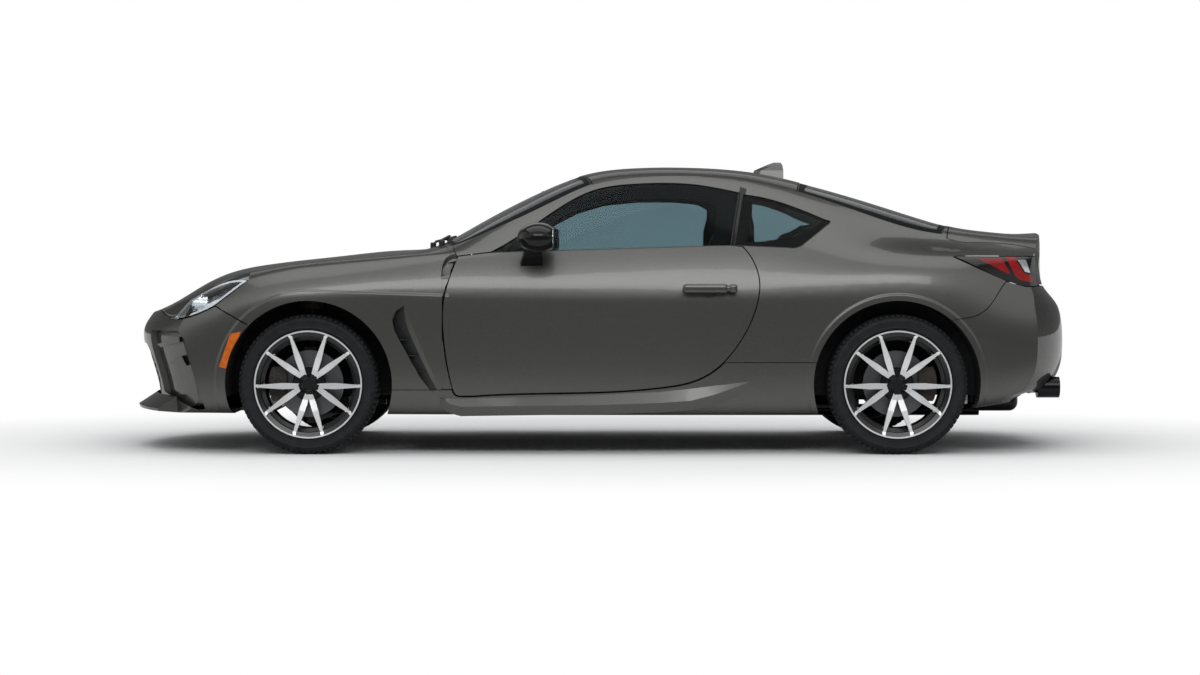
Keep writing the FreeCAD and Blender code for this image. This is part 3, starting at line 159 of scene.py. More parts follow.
def linear(code):
    """A colour written as sRGB hex, as the linear values that the shader wants."""
    values = [int(code[i:i + 2], 16) / 255 for i in (1, 3, 5)]
    return [v / 12.92 if v <= 0.04045 else ((v + 0.055) / 1.055) ** 2.4 for v in values] + [1.0]


def toned(colour, share, lift=0.0):
    """A linear colour made darker or lighter."""
    return [min(1.0, c * share + lift) for c in colour[:3]] + [1.0]


def fill(tree, made, inputs):
    """Gives a node's inputs, by name or by place, their values; a node or one of its outputs is linked instead."""
    for key, value in inputs.items() if isinstance(inputs, dict) else enumerate(inputs):
        if isinstance(value, bpy.types.Node):
            value = value.outputs[0]
        if isinstance(value, bpy.types.NodeSocket):
            tree.links.new(value, made.inputs[key])
        else:
            made.inputs[key].default_value = value


def add_node(tree, kind, inputs=(), stops=(), **settings):
    """Adds one node with its settings, its inputs and, for a ramp, its stops."""
    made = tree.nodes.new(kind)
    for key, value in settings.items():
        setattr(made, key, value)
    fill(tree, made, inputs)
    if stops:
        for _ in stops[2:]:
            made.color_ramp.elements.new(0.5)
        for element, (position, colour) in zip(made.color_ramp.elements, stops):
            element.position = position
            element.color = colour
    return made


def new_material(name):
    """A new material's node tree, its shader and the places on the object."""
    material = bpy.data.materials.new(name)
    material.use_nodes = True
    tree = material.node_tree
    place = add_node(tree, "ShaderNodeTexCoord")
    return tree, tree.nodes["Principled BSDF"], place.outputs["Object"]


def pressed_lip(tree, split, axle, radius, reach):
    """Relief of a lip pressed round a wheel arch, which runs on towards the rear as far as the reach."""
    along = add_node(tree, MATH, (split.outputs["X"], axle), operation="SUBTRACT")
    behind = add_node(tree, MATH, (along, 0.0), operation="MAXIMUM")
    beyond = add_node(tree, MATH, (behind, reach), operation="MINIMUM")
    across = add_node(tree, MATH, (along, beyond), operation="SUBTRACT")
    drop = add_node(tree, MATH, (beyond, LIP_FALL), operation="MULTIPLY")
    level = add_node(tree, MATH, (split.outputs["Z"], WHEEL_HEIGHT), operation="SUBTRACT")
    up = add_node(tree, MATH, (level, drop), operation="ADD")
    squares = [add_node(tree, MATH, (term, term), operation="MULTIPLY") for term in (across, up)]
    distance = add_node(tree, MATH, [add_node(tree, MATH, squares, operation="ADD")], operation="SQRT")
    outside = add_node(tree, MATH, (distance, radius), operation="SUBTRACT")
    return add_node(tree, RANGE, (outside, -LIP_HALF, LIP_HALF, 1.0, 0.0), interpolation_type="SMOOTHSTEP")


def metallic_paint(colour):
    """Metallic base coat under clear lacquer: fine flakes sparkle a little, and the lacquer is mirror smooth.

    The lips round the wheel arches are pressed into the steel, and catch a line of light.
    """
    tree, shader, place = new_material(PAINT)
    flakes = add_node(tree, "ShaderNodeTexVoronoi", {"Vector": place, "Scale": 1400.0})
    tint = add_node(tree, RAMP, [flakes.outputs["Color"]],
                    [(0.2, toned(linear(colour), 0.8)), (0.8, toned(linear(colour), 1.2))])
    split = add_node(tree, SPLIT, [place])
    front = pressed_lip(tree, split, FRONT_AXLE, FRONT_LIP, LIP_REACH)
    before_door = add_node(tree, MATH, (split.outputs["X"], LIP_END), operation="LESS_THAN")
    front = add_node(tree, MATH, (front, before_door), operation="MULTIPLY")
    lips = add_node(tree, MATH, (front, pressed_lip(tree, split, REAR_AXLE, REAR_LIP, 0.0)), operation="ADD")
    width = add_node(tree, MATH, [split.outputs["Y"]], operation="ABSOLUTE")
    on_side = add_node(tree, MATH, (width, SIDE_HALF), operation="GREATER_THAN")
    height = add_node(tree, MATH, (lips, on_side), operation="MULTIPLY")
    relief = add_node(tree, "ShaderNodeBump", {"Height": height, "Distance": LIP_DEPTH, "Strength": 1.0})
    fill(tree, shader, {"Base Color": tint, "Normal": relief, "Specular Tint": linear("#7a7a78"), "Metallic": 0.85,
                        "Roughness": 0.36, "Coat Weight": 0.5, "Coat Roughness": 0.03, "Coat IOR": 1.4})


def patterned(name, noise, stops, values, depth=0.0, strength=0.5, grain=None):
    """A material whose tone wavers with a noise, given as its scale and detail, between two stops.

    Its relief has a depth in metres. It follows that noise, or else a grain: a node's kind, inputs and settings.
    """
    tree, shader, place = new_material(name)
    pattern = add_node(tree, NOISE, {"Vector": place, "Scale": noise[0], "Detail": noise[1]})
    fill(tree, shader, {"Base Color": add_node(tree, RAMP, [pattern], stops), **values})
    if grain:
        kind, inputs, settings = grain
        pattern = add_node(tree, kind, {"Vector": place, **inputs}, **settings)
    if depth:
        relief = add_node(tree, "ShaderNodeBump", {"Height": pattern, "Distance": depth, "Strength": strength})
        fill(tree, shader, {"Normal": relief})


def moulded_plastic(name, colour, grain=0.0009, rough=0.55, shine=0.5):
    """Moulded polypropylene: matt, with the fine leather-like grain of its mould."""
    tone = linear(colour)
    patterned(name, (40.0, 3.0), [(0.35, tone), (0.7, toned(tone, 1.35, 0.002))],
              {"Roughness": rough, "Specular IOR Level": shine}, 0.0002, 0.5,
              ("ShaderNodeTexVoronoi", {"Scale": 1 / grain}, {"feature": "SMOOTH_F1"}))


def metal(name, dark, light, rough, grain=220.0, relief=0.0001):
    """A bare or coated metal whose tone varies with its casting skin or its turning."""
    patterned(name, (grain, 4.0), [(0.35, linear(dark)), (0.68, linear(light))],
              {"Metallic": 0.85, "Roughness": rough}, relief)


def clear_glass(name, tint, edge=None):
    """Glass tinted in the mass: what lies behind shows through in its tint, and with an edge colour it is painted
    darker along a slanting view, as painted shade.
    """
    tree, shader, place = new_material(name)
    wave = add_node(tree, NOISE, {"Vector": place, "Scale": 3.0, "Detail": 1.0})
    shade = add_node(tree, RAMP, [wave], [(0.3, linear(tint)), (0.7, toned(linear(tint), 1.05))])
    if edge:
        # Painted shade: the tint turns towards the edge colour along a slanting view
        slant = add_node(tree, "ShaderNodeLayerWeight", {"Blend": 0.5})
        depth = add_node(tree, RANGE, (slant.outputs["Facing"], 0.50, 0.68))
        shade = add_node(tree, "ShaderNodeMix", {0: depth, 6: shade, 7: linear(edge)}, data_type="RGBA").outputs[2]
    fill(tree, shader, {"Base Color": shade, "Specular Tint": linear("#b0b0b0"), "Roughness": 0.0, "IOR": 1.2,
                        "Transmission Weight": 1.0})


def woven_fabric(name, colour, thread=0.0011):
    """Woven polyester seat cloth: a small over-and-under weave with a soft sheen."""
    tree, shader, place = new_material(name)
    waves = []
    for axis in add_node(tree, SPLIT, [place]).outputs:
        scaled = add_node(tree, MATH, (axis, math.tau / (2 * thread)), operation="MULTIPLY")
        waves.append(add_node(tree, MATH, [scaled], operation="SINE"))
    pair = add_node(tree, MATH, waves[:2], operation="MULTIPLY")
    weave = add_node(tree, MATH, (pair, waves[2]), operation="ADD")
    shade = add_node(tree, RAMP, [weave], [(0.2, toned(linear(colour), 0.6)), (0.8, linear(colour))])
    relief = add_node(tree, "ShaderNodeBump", {"Height": weave, "Distance": 0.0003, "Strength": 0.6})
    fill(tree, shader, {"Base Color": shade, "Normal": relief, "Roughness": 0.9, "Sheen Weight": 0.25})


class CoupeFinish(bpy.types.PropertyGroup):
    paint: StringProperty(name="Body paint", description="Colour of the metallic base coat, as sRGB hex",
                          default="#5c5c5a")
    glass: StringProperty(name="Side glass", description="Tint of the side windows, as sRGB hex",
                          default="#93a6ab")


class CoupeStudio(bpy.types.PropertyGroup):
    focal_length: FloatProperty(name="Focal length", description="Lens of the camera in millimetres",
                                default=90.0, min=20.0)
    camera_distance: FloatProperty(name="Camera distance", description="From the car's middle to the camera",
                                   default=13.95, min=3.0, unit="LENGTH", subtype="DISTANCE")
    camera_height: FloatProperty(name="Camera height", description="Height of the lens above the floor",
                                 default=0.893, unit="LENGTH", subtype="DISTANCE")
    camera_drop: FloatProperty(name="Camera pitch", description="How far the lens looks down",
                               default=math.radians(1.67), unit="ROTATION", subtype="ANGLE")


def finish(name):
    """The material of that name."""
    return bpy.data.materials[name]


def dress(node, material_name):
    """Gives a CAD node one finish."""
    materials = NODES[node].data.materials
    materials.clear()
    materials.append(finish(material_name))


def add_object(name, data):
    """A new object in the scene, at the origin."""
    made = bpy.data.objects.new(name, data)
    bpy.context.scene.collection.objects.link(made)
    return made


def evaluated_mesh(thing):
    """The mesh that an object's modifiers or its curve make."""
    return bpy.data.meshes.new_from_object(thing.evaluated_get(bpy.context.evaluated_depsgraph_get()))


def merged(mesh, distance):
    """A copy of a mesh to work on, with its doubled corners joined."""
    build = bmesh.new()
    build.from_mesh(mesh)
    bmesh.ops.remove_doubles(build, verts=build.verts, dist=distance)
    return build


def keep_normals(mesh, source):
    """Gives a merged or cut copy the smooth normals of the CAD mesh that it came from."""
    triangles = [tuple(face.vertices) for face in source.polygons]
    points = [v.co.copy() for v in source.vertices]
    tree = BVHTree.FromPolygons(points, triangles)
    corners = [vector.vector.copy() for vector in source.corner_normals]
    starts = [face.loop_start for face in source.polygons]
    normals = [None] * len(mesh.loops)
    for face in mesh.polygons:
        middle = face.center
        near = tree.find_nearest_range(middle, 2e-5)
        hit = max(near, key=lambda h: h[1].dot(face.normal))[2] if near else tree.find_nearest(middle)[2]
        outline = [points[v] for v in triangles[hit]]
        for loop in face.loop_indices:
            place = mesh.vertices[mesh.loops[loop].vertex_index].co
            weights = poly_3d_calc(outline, place)
            total = Vector((0, 0, 0))
            for k, weight in enumerate(weights):
                total += corners[starts[hit] + k] * weight
            normals[loop] = total.normalized()
    mesh.polygons.foreach_set("use_smooth", [True] * len(mesh.polygons))
    mesh.normals_split_custom_set(normals)


def dressed_copy(node, names, choose, outlines=()):
    """A copy of a CAD node's mesh whose faces take one of several finishes; it stands for the node."""
    source = NODES[node]
    mesh = source.data.copy()
    mesh.name = node + "_finish"
    build = merged(mesh, MERGE)
    for outline in outlines:
        cut_along(build, outline)
    mesh.materials.clear()
    for name in names:
        mesh.materials.append(finish(name))
    for face in build.faces:
        face.material_index = choose(face.calc_center_median(), face.normal)
    build.to_mesh(mesh)
    build.free()
    keep_normals(mesh, source.data)
    piece = add_object(node + "_finish", mesh)
    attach(piece, source["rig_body"])
    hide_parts(node)
    return piece


def inside_outline(x, z, outline):
    """Whether a place lies inside a closed side-view outline."""
    inside = False
    for (x0, z0), (x1, z1) in zip(outline, outline[1:] + outline[:1]):
        if (z0 > z) != (z1 > z) and x < (x1 - x0) * (z - z0) / (z1 - z0) + x0:
            inside = not inside
    return inside


def cut_along(build, outline):
    """Cuts a mesh along each edge of a side-view outline, so its faces end there."""
    for (x0, z0), (x1, z1) in zip(outline, outline[1:] + outline[:1]):
        bmesh.ops.bisect_plane(build, geom=build.verts[:] + build.edges[:] + build.faces[:], dist=MERGE,
                               plane_co=(x0, 0, z0), plane_no=(z1 - z0, 0, x0 - x1))


def zoned_copy(node, base, zones):
    """A copy of a CAD node whose faces inside side-view outlines take another finish; it stands for the node."""
    def choose(centre, normal):
        found = 0
        for number, (name, outline) in enumerate(zones, 1):
            if inside_outline(centre.x, centre.z, outline):
                found = number
        return found

    return dressed_copy(node, [base] + [name for name, outline in zones], choose,
                        [outline for name, outline in zones])


def new_piece(name, body, finish_name, build, angle=35.0):
    """Turns a finished mesh into a piece that rides on a body."""
    bmesh.ops.remove_doubles(build, verts=build.verts, dist=MERGE)
    bmesh.ops.recalc_face_normals(build, faces=build.faces)
    mesh = bpy.data.meshes.new(name)
    build.to_mesh(mesh)
    build.free()
    mesh.materials.append(finish(finish_name))
    mesh.polygons.foreach_set("use_smooth", [True] * len(mesh.polygons))
    mesh.set_sharp_from_angle(angle=math.radians(angle))
    piece = add_object(name, mesh)
    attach(piece, body)
    return piece


def joined(parts):
    """One mesh out of several; the parts are used up."""
    build = bmesh.new()
    for part in parts:
        mesh = bpy.data.meshes.new("part")
        part.to_mesh(mesh)
        part.free()
        build.from_mesh(mesh)
        bpy.data.meshes.remove(mesh)
    return build


def placed(part, place, turn):
    """Turns a mesh by angles in degrees and sets it in place."""
    turned_by = Euler([math.radians(a) for a in turn]).to_matrix().to_4x4()
    bmesh.ops.transform(part, matrix=Matrix.Translation(place) @ turned_by, verts=part.verts)
    return part


def block(size, place, edge=0.004, turn=(0, 0, 0), steps=2):
    """A block with rounded edges, turned and set in place."""
    part = bmesh.new()
    bmesh.ops.create_cube(part, size=1.0)
    bmesh.ops.scale(part, vec=size, verts=part.verts)
    bmesh.ops.bevel(part, geom=part.edges[:], offset=edge, segments=steps, affect="EDGES", profile=0.5)
    return placed(part, place, turn)


def lathe(profile, place=(0, 0, 0), steps=48, along="Y", closed=True):
    """Turns (radius, height) points about an axis through a place; a closed profile makes a ring."""
    part = bmesh.new()
    rows = []
    for k in range(steps):
        c, s = math.cos(math.tau * k / steps), math.sin(math.tau * k / steps)
        rows.append([part.verts.new({"X": (h, r * c, r * s), "Y": (r * s, h, r * c), "Z": (r * c, r * s, h)}[along])
                     for r, h in profile])
    last = len(profile) if closed else len(profile) - 1
    for a, b in zip(rows, rows[1:] + rows[:1]):
        for i in range(last):
            j = (i + 1) % len(profile)
            part.faces.new((a[i], a[j], b[j], b[i]))
    bmesh.ops.remove_doubles(part, verts=part.verts, dist=MERGE)
    bmesh.ops.dissolve_degenerate(part, edges=part.edges, dist=1e-7)
    return placed(part, place, (0, 0, 0))


def tube(runs, radius, around=3):
    """Round strips of one radius along runs of points; a run that ends where it starts is a ring."""
    line = bpy.data.curves.new("strip", "CURVE")
    line.dimensions = "3D"
    line.bevel_depth = radius
    line.bevel_resolution = around
    line.use_fill_caps = True
    for points in runs:
        ring = (Vector(points[0]) - Vector(points[-1])).length < MERGE
        points = points[:-1] if ring else points
        spline = line.splines.new("POLY")
        spline.points.add(len(points) - 1)
        for spot, place in zip(spline.points, points):
            spot.co = (*place, 1)
        spline.use_cyclic_u = ring
    holder = add_object("strip", line)
    mesh = evaluated_mesh(holder)
    part = bmesh.new()
    part.from_mesh(mesh)
    bpy.data.objects.remove(holder)
    bpy.data.curves.remove(line)
    bpy.data.meshes.remove(mesh)
    return part


def rim_runs(node, outward):
    """The outer rim of a CAD pane as runs of points."""
    build = merged(NODES[node].data, 1e-5)
    outward = Vector(outward).normalized()
    open_ends = {}
    for edge in build.edges:
        if len(edge.link_faces) == 2 and edge.calc_face_angle() > 0.9:
            if max(face.normal.dot(outward) for face in edge.link_faces) > 0.75:
                a, b = edge.verts
                open_ends.setdefault(a, []).append(b)
                open_ends.setdefault(b, []).append(a)
    runs, used = [], set()
    for start in sorted(open_ends, key=lambda v: (len(open_ends[v]) == 2, v.index)):
        if start in used:
            continue
        run, spot = [start], start
        used.add(start)
        while True:
            nexts = [v for v in open_ends[spot] if v not in used]
            if not nexts:
                break
            spot = nexts[0]
            used.add(spot)
            run.append(spot)
        if len(run) > 8:
            if run[0] in open_ends[run[-1]]:
                run.append(run[0])
            runs.append([tuple(v.co) for v in run])
    build.free()
    return runs


def around_axle_tree():
    """Geometry nodes that set copies of one piece at even angles round a wheel's axle."""
    tree = bpy.data.node_groups.new("around_axle", "GeometryNodeTree")
    for name, kind in (("Piece", "NodeSocketObject"), ("Count", "NodeSocketInt"), ("Place", "NodeSocketVector"),
                       ("Finish", "NodeSocketMaterial")):
        tree.interface.new_socket(name, in_out="INPUT", socket_type=kind)
    tree.interface.new_socket("Geometry", in_out="OUTPUT", socket_type="NodeSocketGeometry")
    given = add_node(tree, "NodeGroupInput").outputs
    spots = add_node(tree, "GeometryNodePoints", {"Count": given["Count"]})
    share = add_node(tree, MATH, (math.tau, given["Count"]), operation="DIVIDE")
    angle = add_node(tree, MATH, (share, add_node(tree, "GeometryNodeInputIndex")), operation="MULTIPLY")
    turn = add_node(tree, "ShaderNodeCombineXYZ", {"Y": angle})
    rotation = add_node(tree, "FunctionNodeEulerToRotation", [turn])
    source = add_node(tree, "GeometryNodeObjectInfo", {"Object": given["Piece"]})
    copies = add_node(tree, "GeometryNodeInstanceOnPoints",
                      {"Points": spots, "Instance": source.outputs["Geometry"], "Rotation": rotation})
    real = add_node(tree, "GeometryNodeRealizeInstances", [copies])
    moved = add_node(tree, "GeometryNodeTransform", {"Geometry": real, "Translation": given["Place"]})
    coated = add_node(tree, "GeometryNodeSetMaterial", {"Geometry": moved, "Material": given["Finish"]})
    add_node(tree, "NodeGroupOutput", [coated])
    return tree


def around_axle(name, part, count, place, finish_name, body, angle=35.0):
    """Sets copies of a mesh at even angles round a wheel's axle, as one piece."""
    tree = bpy.data.node_groups.get("around_axle") or around_axle_tree()
    mesh = bpy.data.meshes.new("pattern")
    bmesh.ops.recalc_face_normals(part, faces=part.faces)
    part.to_mesh(mesh)
    part.free()
    pattern = add_object("pattern", mesh)
    holder = add_object("holder", bpy.data.meshes.new("holder"))
    modifier = holder.modifiers.new("copies", "NODES")
    modifier.node_group = tree
    values = {"Piece": pattern, "Count": count, "Place": place, "Finish": finish(finish_name)}
    for socket in tree.interface.items_tree:
        if socket.name in values:
            modifier[socket.identifier] = values[socket.name]
    holder.update_tag()
    made = evaluated_mesh(holder)
    holder.modifiers.remove(modifier)
    for thing in (pattern, holder):
        bpy.data.objects.remove(thing)
    build = bmesh.new()
    build.from_mesh(made)
    return new_piece(name, body, finish_name, build, angle)


class COUPE_OT_finishes(bpy.types.Operator):
    """Make the finishes of the coupe"""
    bl_idname = "coupe.finishes"
    bl_label = "Finishes"

    def execute(self, context):
        colours = context.scene.coupe_finish
        metallic_paint(colours.paint)
        # Piano-black painted ABS: deep black with a lacquered surface
        patterned(GLOSS, (900.0, 2.0), [(0.3, linear("#0b0b0c")), (0.7, linear("#101011"))],
                  {"Roughness": 0.12, "Specular IOR Level": 0.2, "Coat Weight": 0.15, "Coat Roughness": 0.02})
        # Vulcanised rubber: near black, dull, slightly grey where it is scuffed and dusty
        patterned("vulcanised_rubber", (30.0, 5.0), [(0.35, linear("#141517")), (0.75, linear("#1e2022"))],
                  {"Roughness": 0.62, "Specular IOR Level": 0.25}, 0.0001, 0.5,
                  (NOISE, {"Scale": 1200.0, "Detail": 2.0}, {}))
        # Diamond-turned aluminium under clear lacquer: bright, with fine marks from the lathe
        patterned("machined_lacquered_aluminium", (700.0, 3.0), [(0.3, linear("#dcddde")), (0.7, linear("#f0f0f1"))],
                  {"Metallic": 0.5, "Roughness": 0.3, "Coat Weight": 0.4, "Coat Roughness": 0.05}, 0.00002, 0.4)
        # Cast aluminium wheel painted satin black: dark with a soft shine
        patterned("black_painted_cast_aluminium", (500.0, 1.0), [(0.3, linear("#0e0f10")), (0.7, linear("#151617"))],
                  {"Metallic": 0.1, "Roughness": 0.3, "Specular IOR Level": 0.35, "Coat Weight": 0.3,
                   "Coat Roughness": 0.08}, 0.00004, 0.3)
        for row in ((BLACK, "#131415"), (GREY, "#0e0e10", 0.0012, 0.75, 0.25), (COATING, "#151617", 0.003, 0.8),
                    ("printed_black_ceramic", "#08090a", 0.0006, 0.7, 0.1),
                    ("amber_lamp_body", "#b85a08", 0.004, 0.25), ("red_lamp_body", "#7d0a0f", 0.004, 0.2, 0.2),
                    ("black_seal_rubber", "#0c0c0d", 0.0008, 0.5)):
            moulded_plastic(*row)
        for row in (("cast_iron", "#3a3836", "#55524e", 0.6),
                    ("turned_brake_steel", "#6a6b6d", "#838485", 0.34, 500.0, 0.00004),
                    ("brushed_exhaust_steel", "#8f8d88", "#b1aea8", 0.3, 300.0, 0.00004),
                    ("black_chromed_steel", "#1b1b1d", "#29292b", 0.22, 300.0, 0.00003),
                    (SILVER, "#c4c6c8", "#e2e4e6", 0.12, 60.0, 0.00003)):
            metal(*row)
        clear_glass("tinted_float_glass", colours.glass)
        # The screens' glass carries painted shade, near black along a slanting view
        clear_glass("laminated_screen_glass", colours.glass, "#0c0f11")
        clear_glass("clear_polycarbonate", "#f2f6f8")
        woven_fabric("woven_black_seat_cloth", "#25262a")
        return {"FINISHED"}


class COUPE_OT_body(bpy.types.Operator):
    """Paint and glaze the body"""
    bl_idname = "coupe.body"
    bl_label = "Body"

    def execute(self, context):
        for name, nodes in ((PAINT, ("bonnet", "roof_panel", "boot_lid", "rear_bumper", "side_skirts", "antenna_fin",
                                     "front_lip")),
                            ("tinted_float_glass", ("quarter_glass", "door_glass_left", "door_glass_right")),
                            ("laminated_screen_glass", ("windscreen", "rear_window")),
                            (GREY, ("roof_frame",)), (BLACK, ("grille", "rear_diffuser", "cowl"))):
            for node in nodes:
                dress(node, name)
        # Painted shade: the vent's deep recess takes the black finish
        zoned_copy("fenders", PAINT, [(BLACK, VENT_SHADE)])
        zoned_copy("front_bumper", PAINT, [("amber_lamp_body", AMBER_MARKER)])
        zoned_copy("body_sides", PAINT, [(GLOSS, PILLAR_TRIM)])
        dressed_copy("floor_pan", [COATING, PAINT],
                     lambda centre, normal: int(abs(centre.y) > 0.70 and -0.76 < centre.x < 1.0 and centre.z > 0.235))
        for side, sign in SIDES:
            dressed_copy("door_" + side, [PAINT, GREY],
                         lambda centre, normal: int(normal.y * sign < -0.3 or abs(centre.y) < 0.75))
            dressed_copy("mirror_and_handle_" + side, [GLOSS, PAINT], lambda centre, normal: int(centre.x > 0.2))
        return {"FINISHED"}


class COUPE_OT_seals(bpy.types.Operator):
    """Lay the rubber seals round the glass, and print its black bands"""
    bl_idname = "coupe.seals"
    bl_label = "Seals"

    def execute(self, context):
        for node, body, outward in (
                ("windscreen", "body", (-0.5, 0, 0.85)), ("rear_window", "body", (0.35, 0, 0.93)),
                ("door_glass_left", "door_left", (0, -1, 0.45)), ("door_glass_right", "door_right", (0, 1, 0.45))):
            runs = rim_runs(node, outward)
            new_piece("seal_of_" + node, body, "black_seal_rubber", tube(runs, SEAL_RADIUS, 2))
            if body == "body":
                printed_band(node, max(runs, key=len), outward, SCREEN_BAND, "printed_band_" + node)
        for side, sign in SIDES:
            outward = (0, sign, 0.45)
            runs = [run for run in rim_runs("quarter_glass", outward) if run[0][1] * sign > 0]
            new_piece("seal_of_quarter_glass_" + side, "body", "black_seal_rubber", tube(runs, SEAL_RADIUS, 2))
            printed_band("quarter_glass", max(runs, key=len), outward, QUARTER_BAND, "printed_band_quarter_" + side)
        return {"FINISHED"}


def printed_band(node, run, outward, wide, name):
    """A black band printed on a pane along a run of its rim."""
    source = merged(NODES[node].data, 1e-5)
    outward = Vector(outward).normalized()
    bmesh.ops.delete(source, geom=[f for f in source.faces if f.normal.dot(outward) < 0.5], context="FACES")
    tree = BVHTree.FromBMesh(source)
    source.free()
    points = [Vector(p) for p in run]
    heart = sum(points, Vector()) / len(points)
    build = bmesh.new()
    rows = []
    for step in range(BAND_STEPS + 1):
        row = []
        for p in points:
            away = (heart - p).normalized() * wide * step / BAND_STEPS
            place, normal, index, distance = tree.find_nearest(p + away)
            row.append(build.verts.new(place + normal * 0.0004))
        rows.append(row)
    sheet(build, rows)
    bmesh.ops.remove_doubles(build, verts=build.verts, dist=1e-5)
    thicken(build, outward, 0.0003)
    new_piece(name, "body", "printed_black_ceramic", build, 60)


def sheet(build, rows):
    """Joins rows of corners by faces."""
    for first, second in zip(rows, rows[1:]):
        for k in range(len(first) - 1):
            build.faces.new((first[k], first[k + 1], second[k + 1], second[k]))


def thicken(build, outward, thickness):
    """Gives a sheet its wall, with its outer side kept."""
    bmesh.ops.recalc_face_normals(build, faces=build.faces)
    if sum(face.normal.dot(outward) for face in build.faces) < 0:
        bmesh.ops.reverse_faces(build, faces=build.faces)
    bmesh.ops.solidify(build, geom=build.faces[:], thickness=thickness)


class COUPE_OT_lamps(bpy.types.Operator):
    """Fit out the headlamps and the tail lamps"""
    bl_idname = "coupe.lamps"
    bl_label = "Lamps"

    def execute(self, context):
        dress("headlamps", "clear_polycarbonate")

        def housing(centre, normal):
            if centre.z < 0.54 or abs(centre.y) < 0.50 or centre.x > -1.50:
                return 0
            return 2 if inside_outline(centre.x, centre.z, LAMP_LOOK) or centre.x > -1.80 else 1

        dressed_copy("front_frame", [COATING, GLOSS, SILVER], housing)
        zoned_copy("tail_lamps", GLOSS, [("red_lamp_body", LAMP_RED), ("red_lamp_body", LAMP_HOOK),
                                         (SILVER, LAMP_CLEAR)])
        for side, sign in SIDES:
            bowl = lathe([(0.004, 0.030), (0.012, 0.012), (0.026, 0.002), (0.031, 0.0), (0.031, 0.003),
                          (0.027, 0.006), (0.015, 0.016), (0.006, 0.032)], (-1.762, sign * 0.690, 0.668), 40, "X")
            new_piece("headlamp_bowl_" + side, "body", SILVER, bowl)
        return {"FINISHED"}


def on_spoke(x, z):
    """Whether a place in the wheel's plane, from its axle, lies on the face of one of the ten spokes."""
    fold = abs((math.degrees(math.atan2(z, x)) - 54 + 36) % 72 - 36)
    r = math.hypot(x, z)
    u, v = r * math.cos(math.radians(fold)) - SPOKE_ROOT, r * math.sin(math.radians(fold))
    c, s = math.cos(SPOKE_LEAN), math.sin(SPOKE_LEAN)
    along, across = u * c + v * s, abs(u * s - v * c)
    half = SPOKE_HALF - max(0.0, along - SPOKE_SHOULDER) * SPOKE_TAPER
    return 0.020 < along < 0.205 and across < half + 0.0005


class COUPE_OT_wheels(bpy.types.Operator):
    """Finish the wheels, tyres and what carries them"""
    bl_idname = "coupe.wheels"
    bl_label = "Wheels"

    def execute(self, context):
        profile = []
        for half in (TYRE_OUTSIDE, TYRE_INSIDE):
            profile += half + [(r, -h) for r, h in reversed(half)]
        for name, sign, axle, track in WHEELS:

            def choose(centre, normal):
                out = centre.y * sign - track
                x, z = centre.x - axle, centre.z - WHEEL_HEIGHT
                r = math.hypot(x, z)
                if -0.03 < out < 0.03 and DISC_RING[0] < r < DISC_RING[1]:
                    return 2
                return int(normal.y * sign > 0.7 and out > 0.058 and (r > RIM_LIP or on_spoke(x, z)))

            body = "wheel_" + name
            hub = (axle, sign * track, WHEEL_HEIGHT)
            dressed_copy(body, ["black_painted_cast_aluminium", "machined_lacquered_aluminium", "turned_brake_steel"],
                         choose)
            tyre = new_piece("tyre_carcass_" + name, body, "vulcanised_rubber", lathe(profile, hub, 96), 40)
            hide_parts("tyre_" + name)
            rows = []
            for middle, width, lean, reach in ((-0.079, 0.026, 6, 0.0195), (-0.047, 0.026, -14, 0.021),
                                               (0.0, 0.040, 10, 0.0235), (0.047, 0.026, -14, 0.021),
                                               (0.079, 0.026, 6, 0.0195)):
                sink, tilt = (0.0014, -math.copysign(9, middle)) if abs(middle) > 0.06 else (0.0, 0)
                place = (0.0, middle, TREAD_RADIUS - sink)
                rows.append(block((reach, width, 0.008), place, 0.0012, (tilt, 0, lean), 1))
            for face in (-1, 1):
                rows.append(block((0.010, 0.011, 0.011), (0.0, face * 0.0945, 0.2945), 0.0012, (-face * 50, 0, 0), 1))
            around_axle("tread_" + name, joined(rows), TREAD_PITCHES, hub, "vulcanised_rubber", body, 25)
            nut = lathe([(0.0, 0.0), (0.0095, 0.0), (0.0095, 0.012), (0.0075, 0.016), (0.0, 0.017)],
                        (STUD_CIRCLE, 0, 0), 6, closed=False)
            bmesh.ops.rotate(nut, verts=nut.verts, cent=(0, 0, 0), matrix=Matrix.Rotation(-math.pi / 2, 3, "Y"))
            if sign < 0:
                bmesh.ops.scale(nut, vec=(1, -1, 1), verts=nut.verts)
            around_axle("lug_nuts_" + name, nut, 5, (hub[0], hub[1] + sign * 0.050, hub[2]),
                        "black_painted_cast_aluminium", body, 25)
        for node in ("knuckle_left", "knuckle_right", "front_suspension", "rear_suspension", "engine"):
            dress(node, "cast_iron")
        dress("exhaust", "black_chromed_steel")
        return {"FINISHED"}


def pad_shell(sections, around=28):
    """A closed pad through rounded sections: each is its middle, half width, half depth and lean."""
    build = bmesh.new()
    rows = []
    for middle, half_width, half_depth, lean in sections:
        row = []
        for k in range(around):
            c, s = math.cos(math.tau * k / around), math.sin(math.tau * k / around)
            across = half_width * math.copysign(abs(c) ** 0.45, c)
            deep = half_depth * math.copysign(abs(s) ** 0.55, s)
            wing = max(0.0, abs(across) / half_width - 0.62) / 0.38
            lift = 0.030 * wing * wing if s > 0 else 0.0
            x, z = math.cos(lean), math.sin(lean)
            row.append(build.verts.new((middle[0] + x * (deep + lift), middle[1] + across,
                                        middle[2] + z * (deep + lift))))
        rows.append(row)
    for first, second in zip(rows, rows[1:]):
        for k in range(around):
            j = (k + 1) % around
            build.faces.new((first[k], first[j], second[j], second[k]))
    build.faces.new(rows[0][::-1])
    build.faces.new(rows[-1])
    bmesh.ops.recalc_face_normals(build, faces=build.faces)
    return build


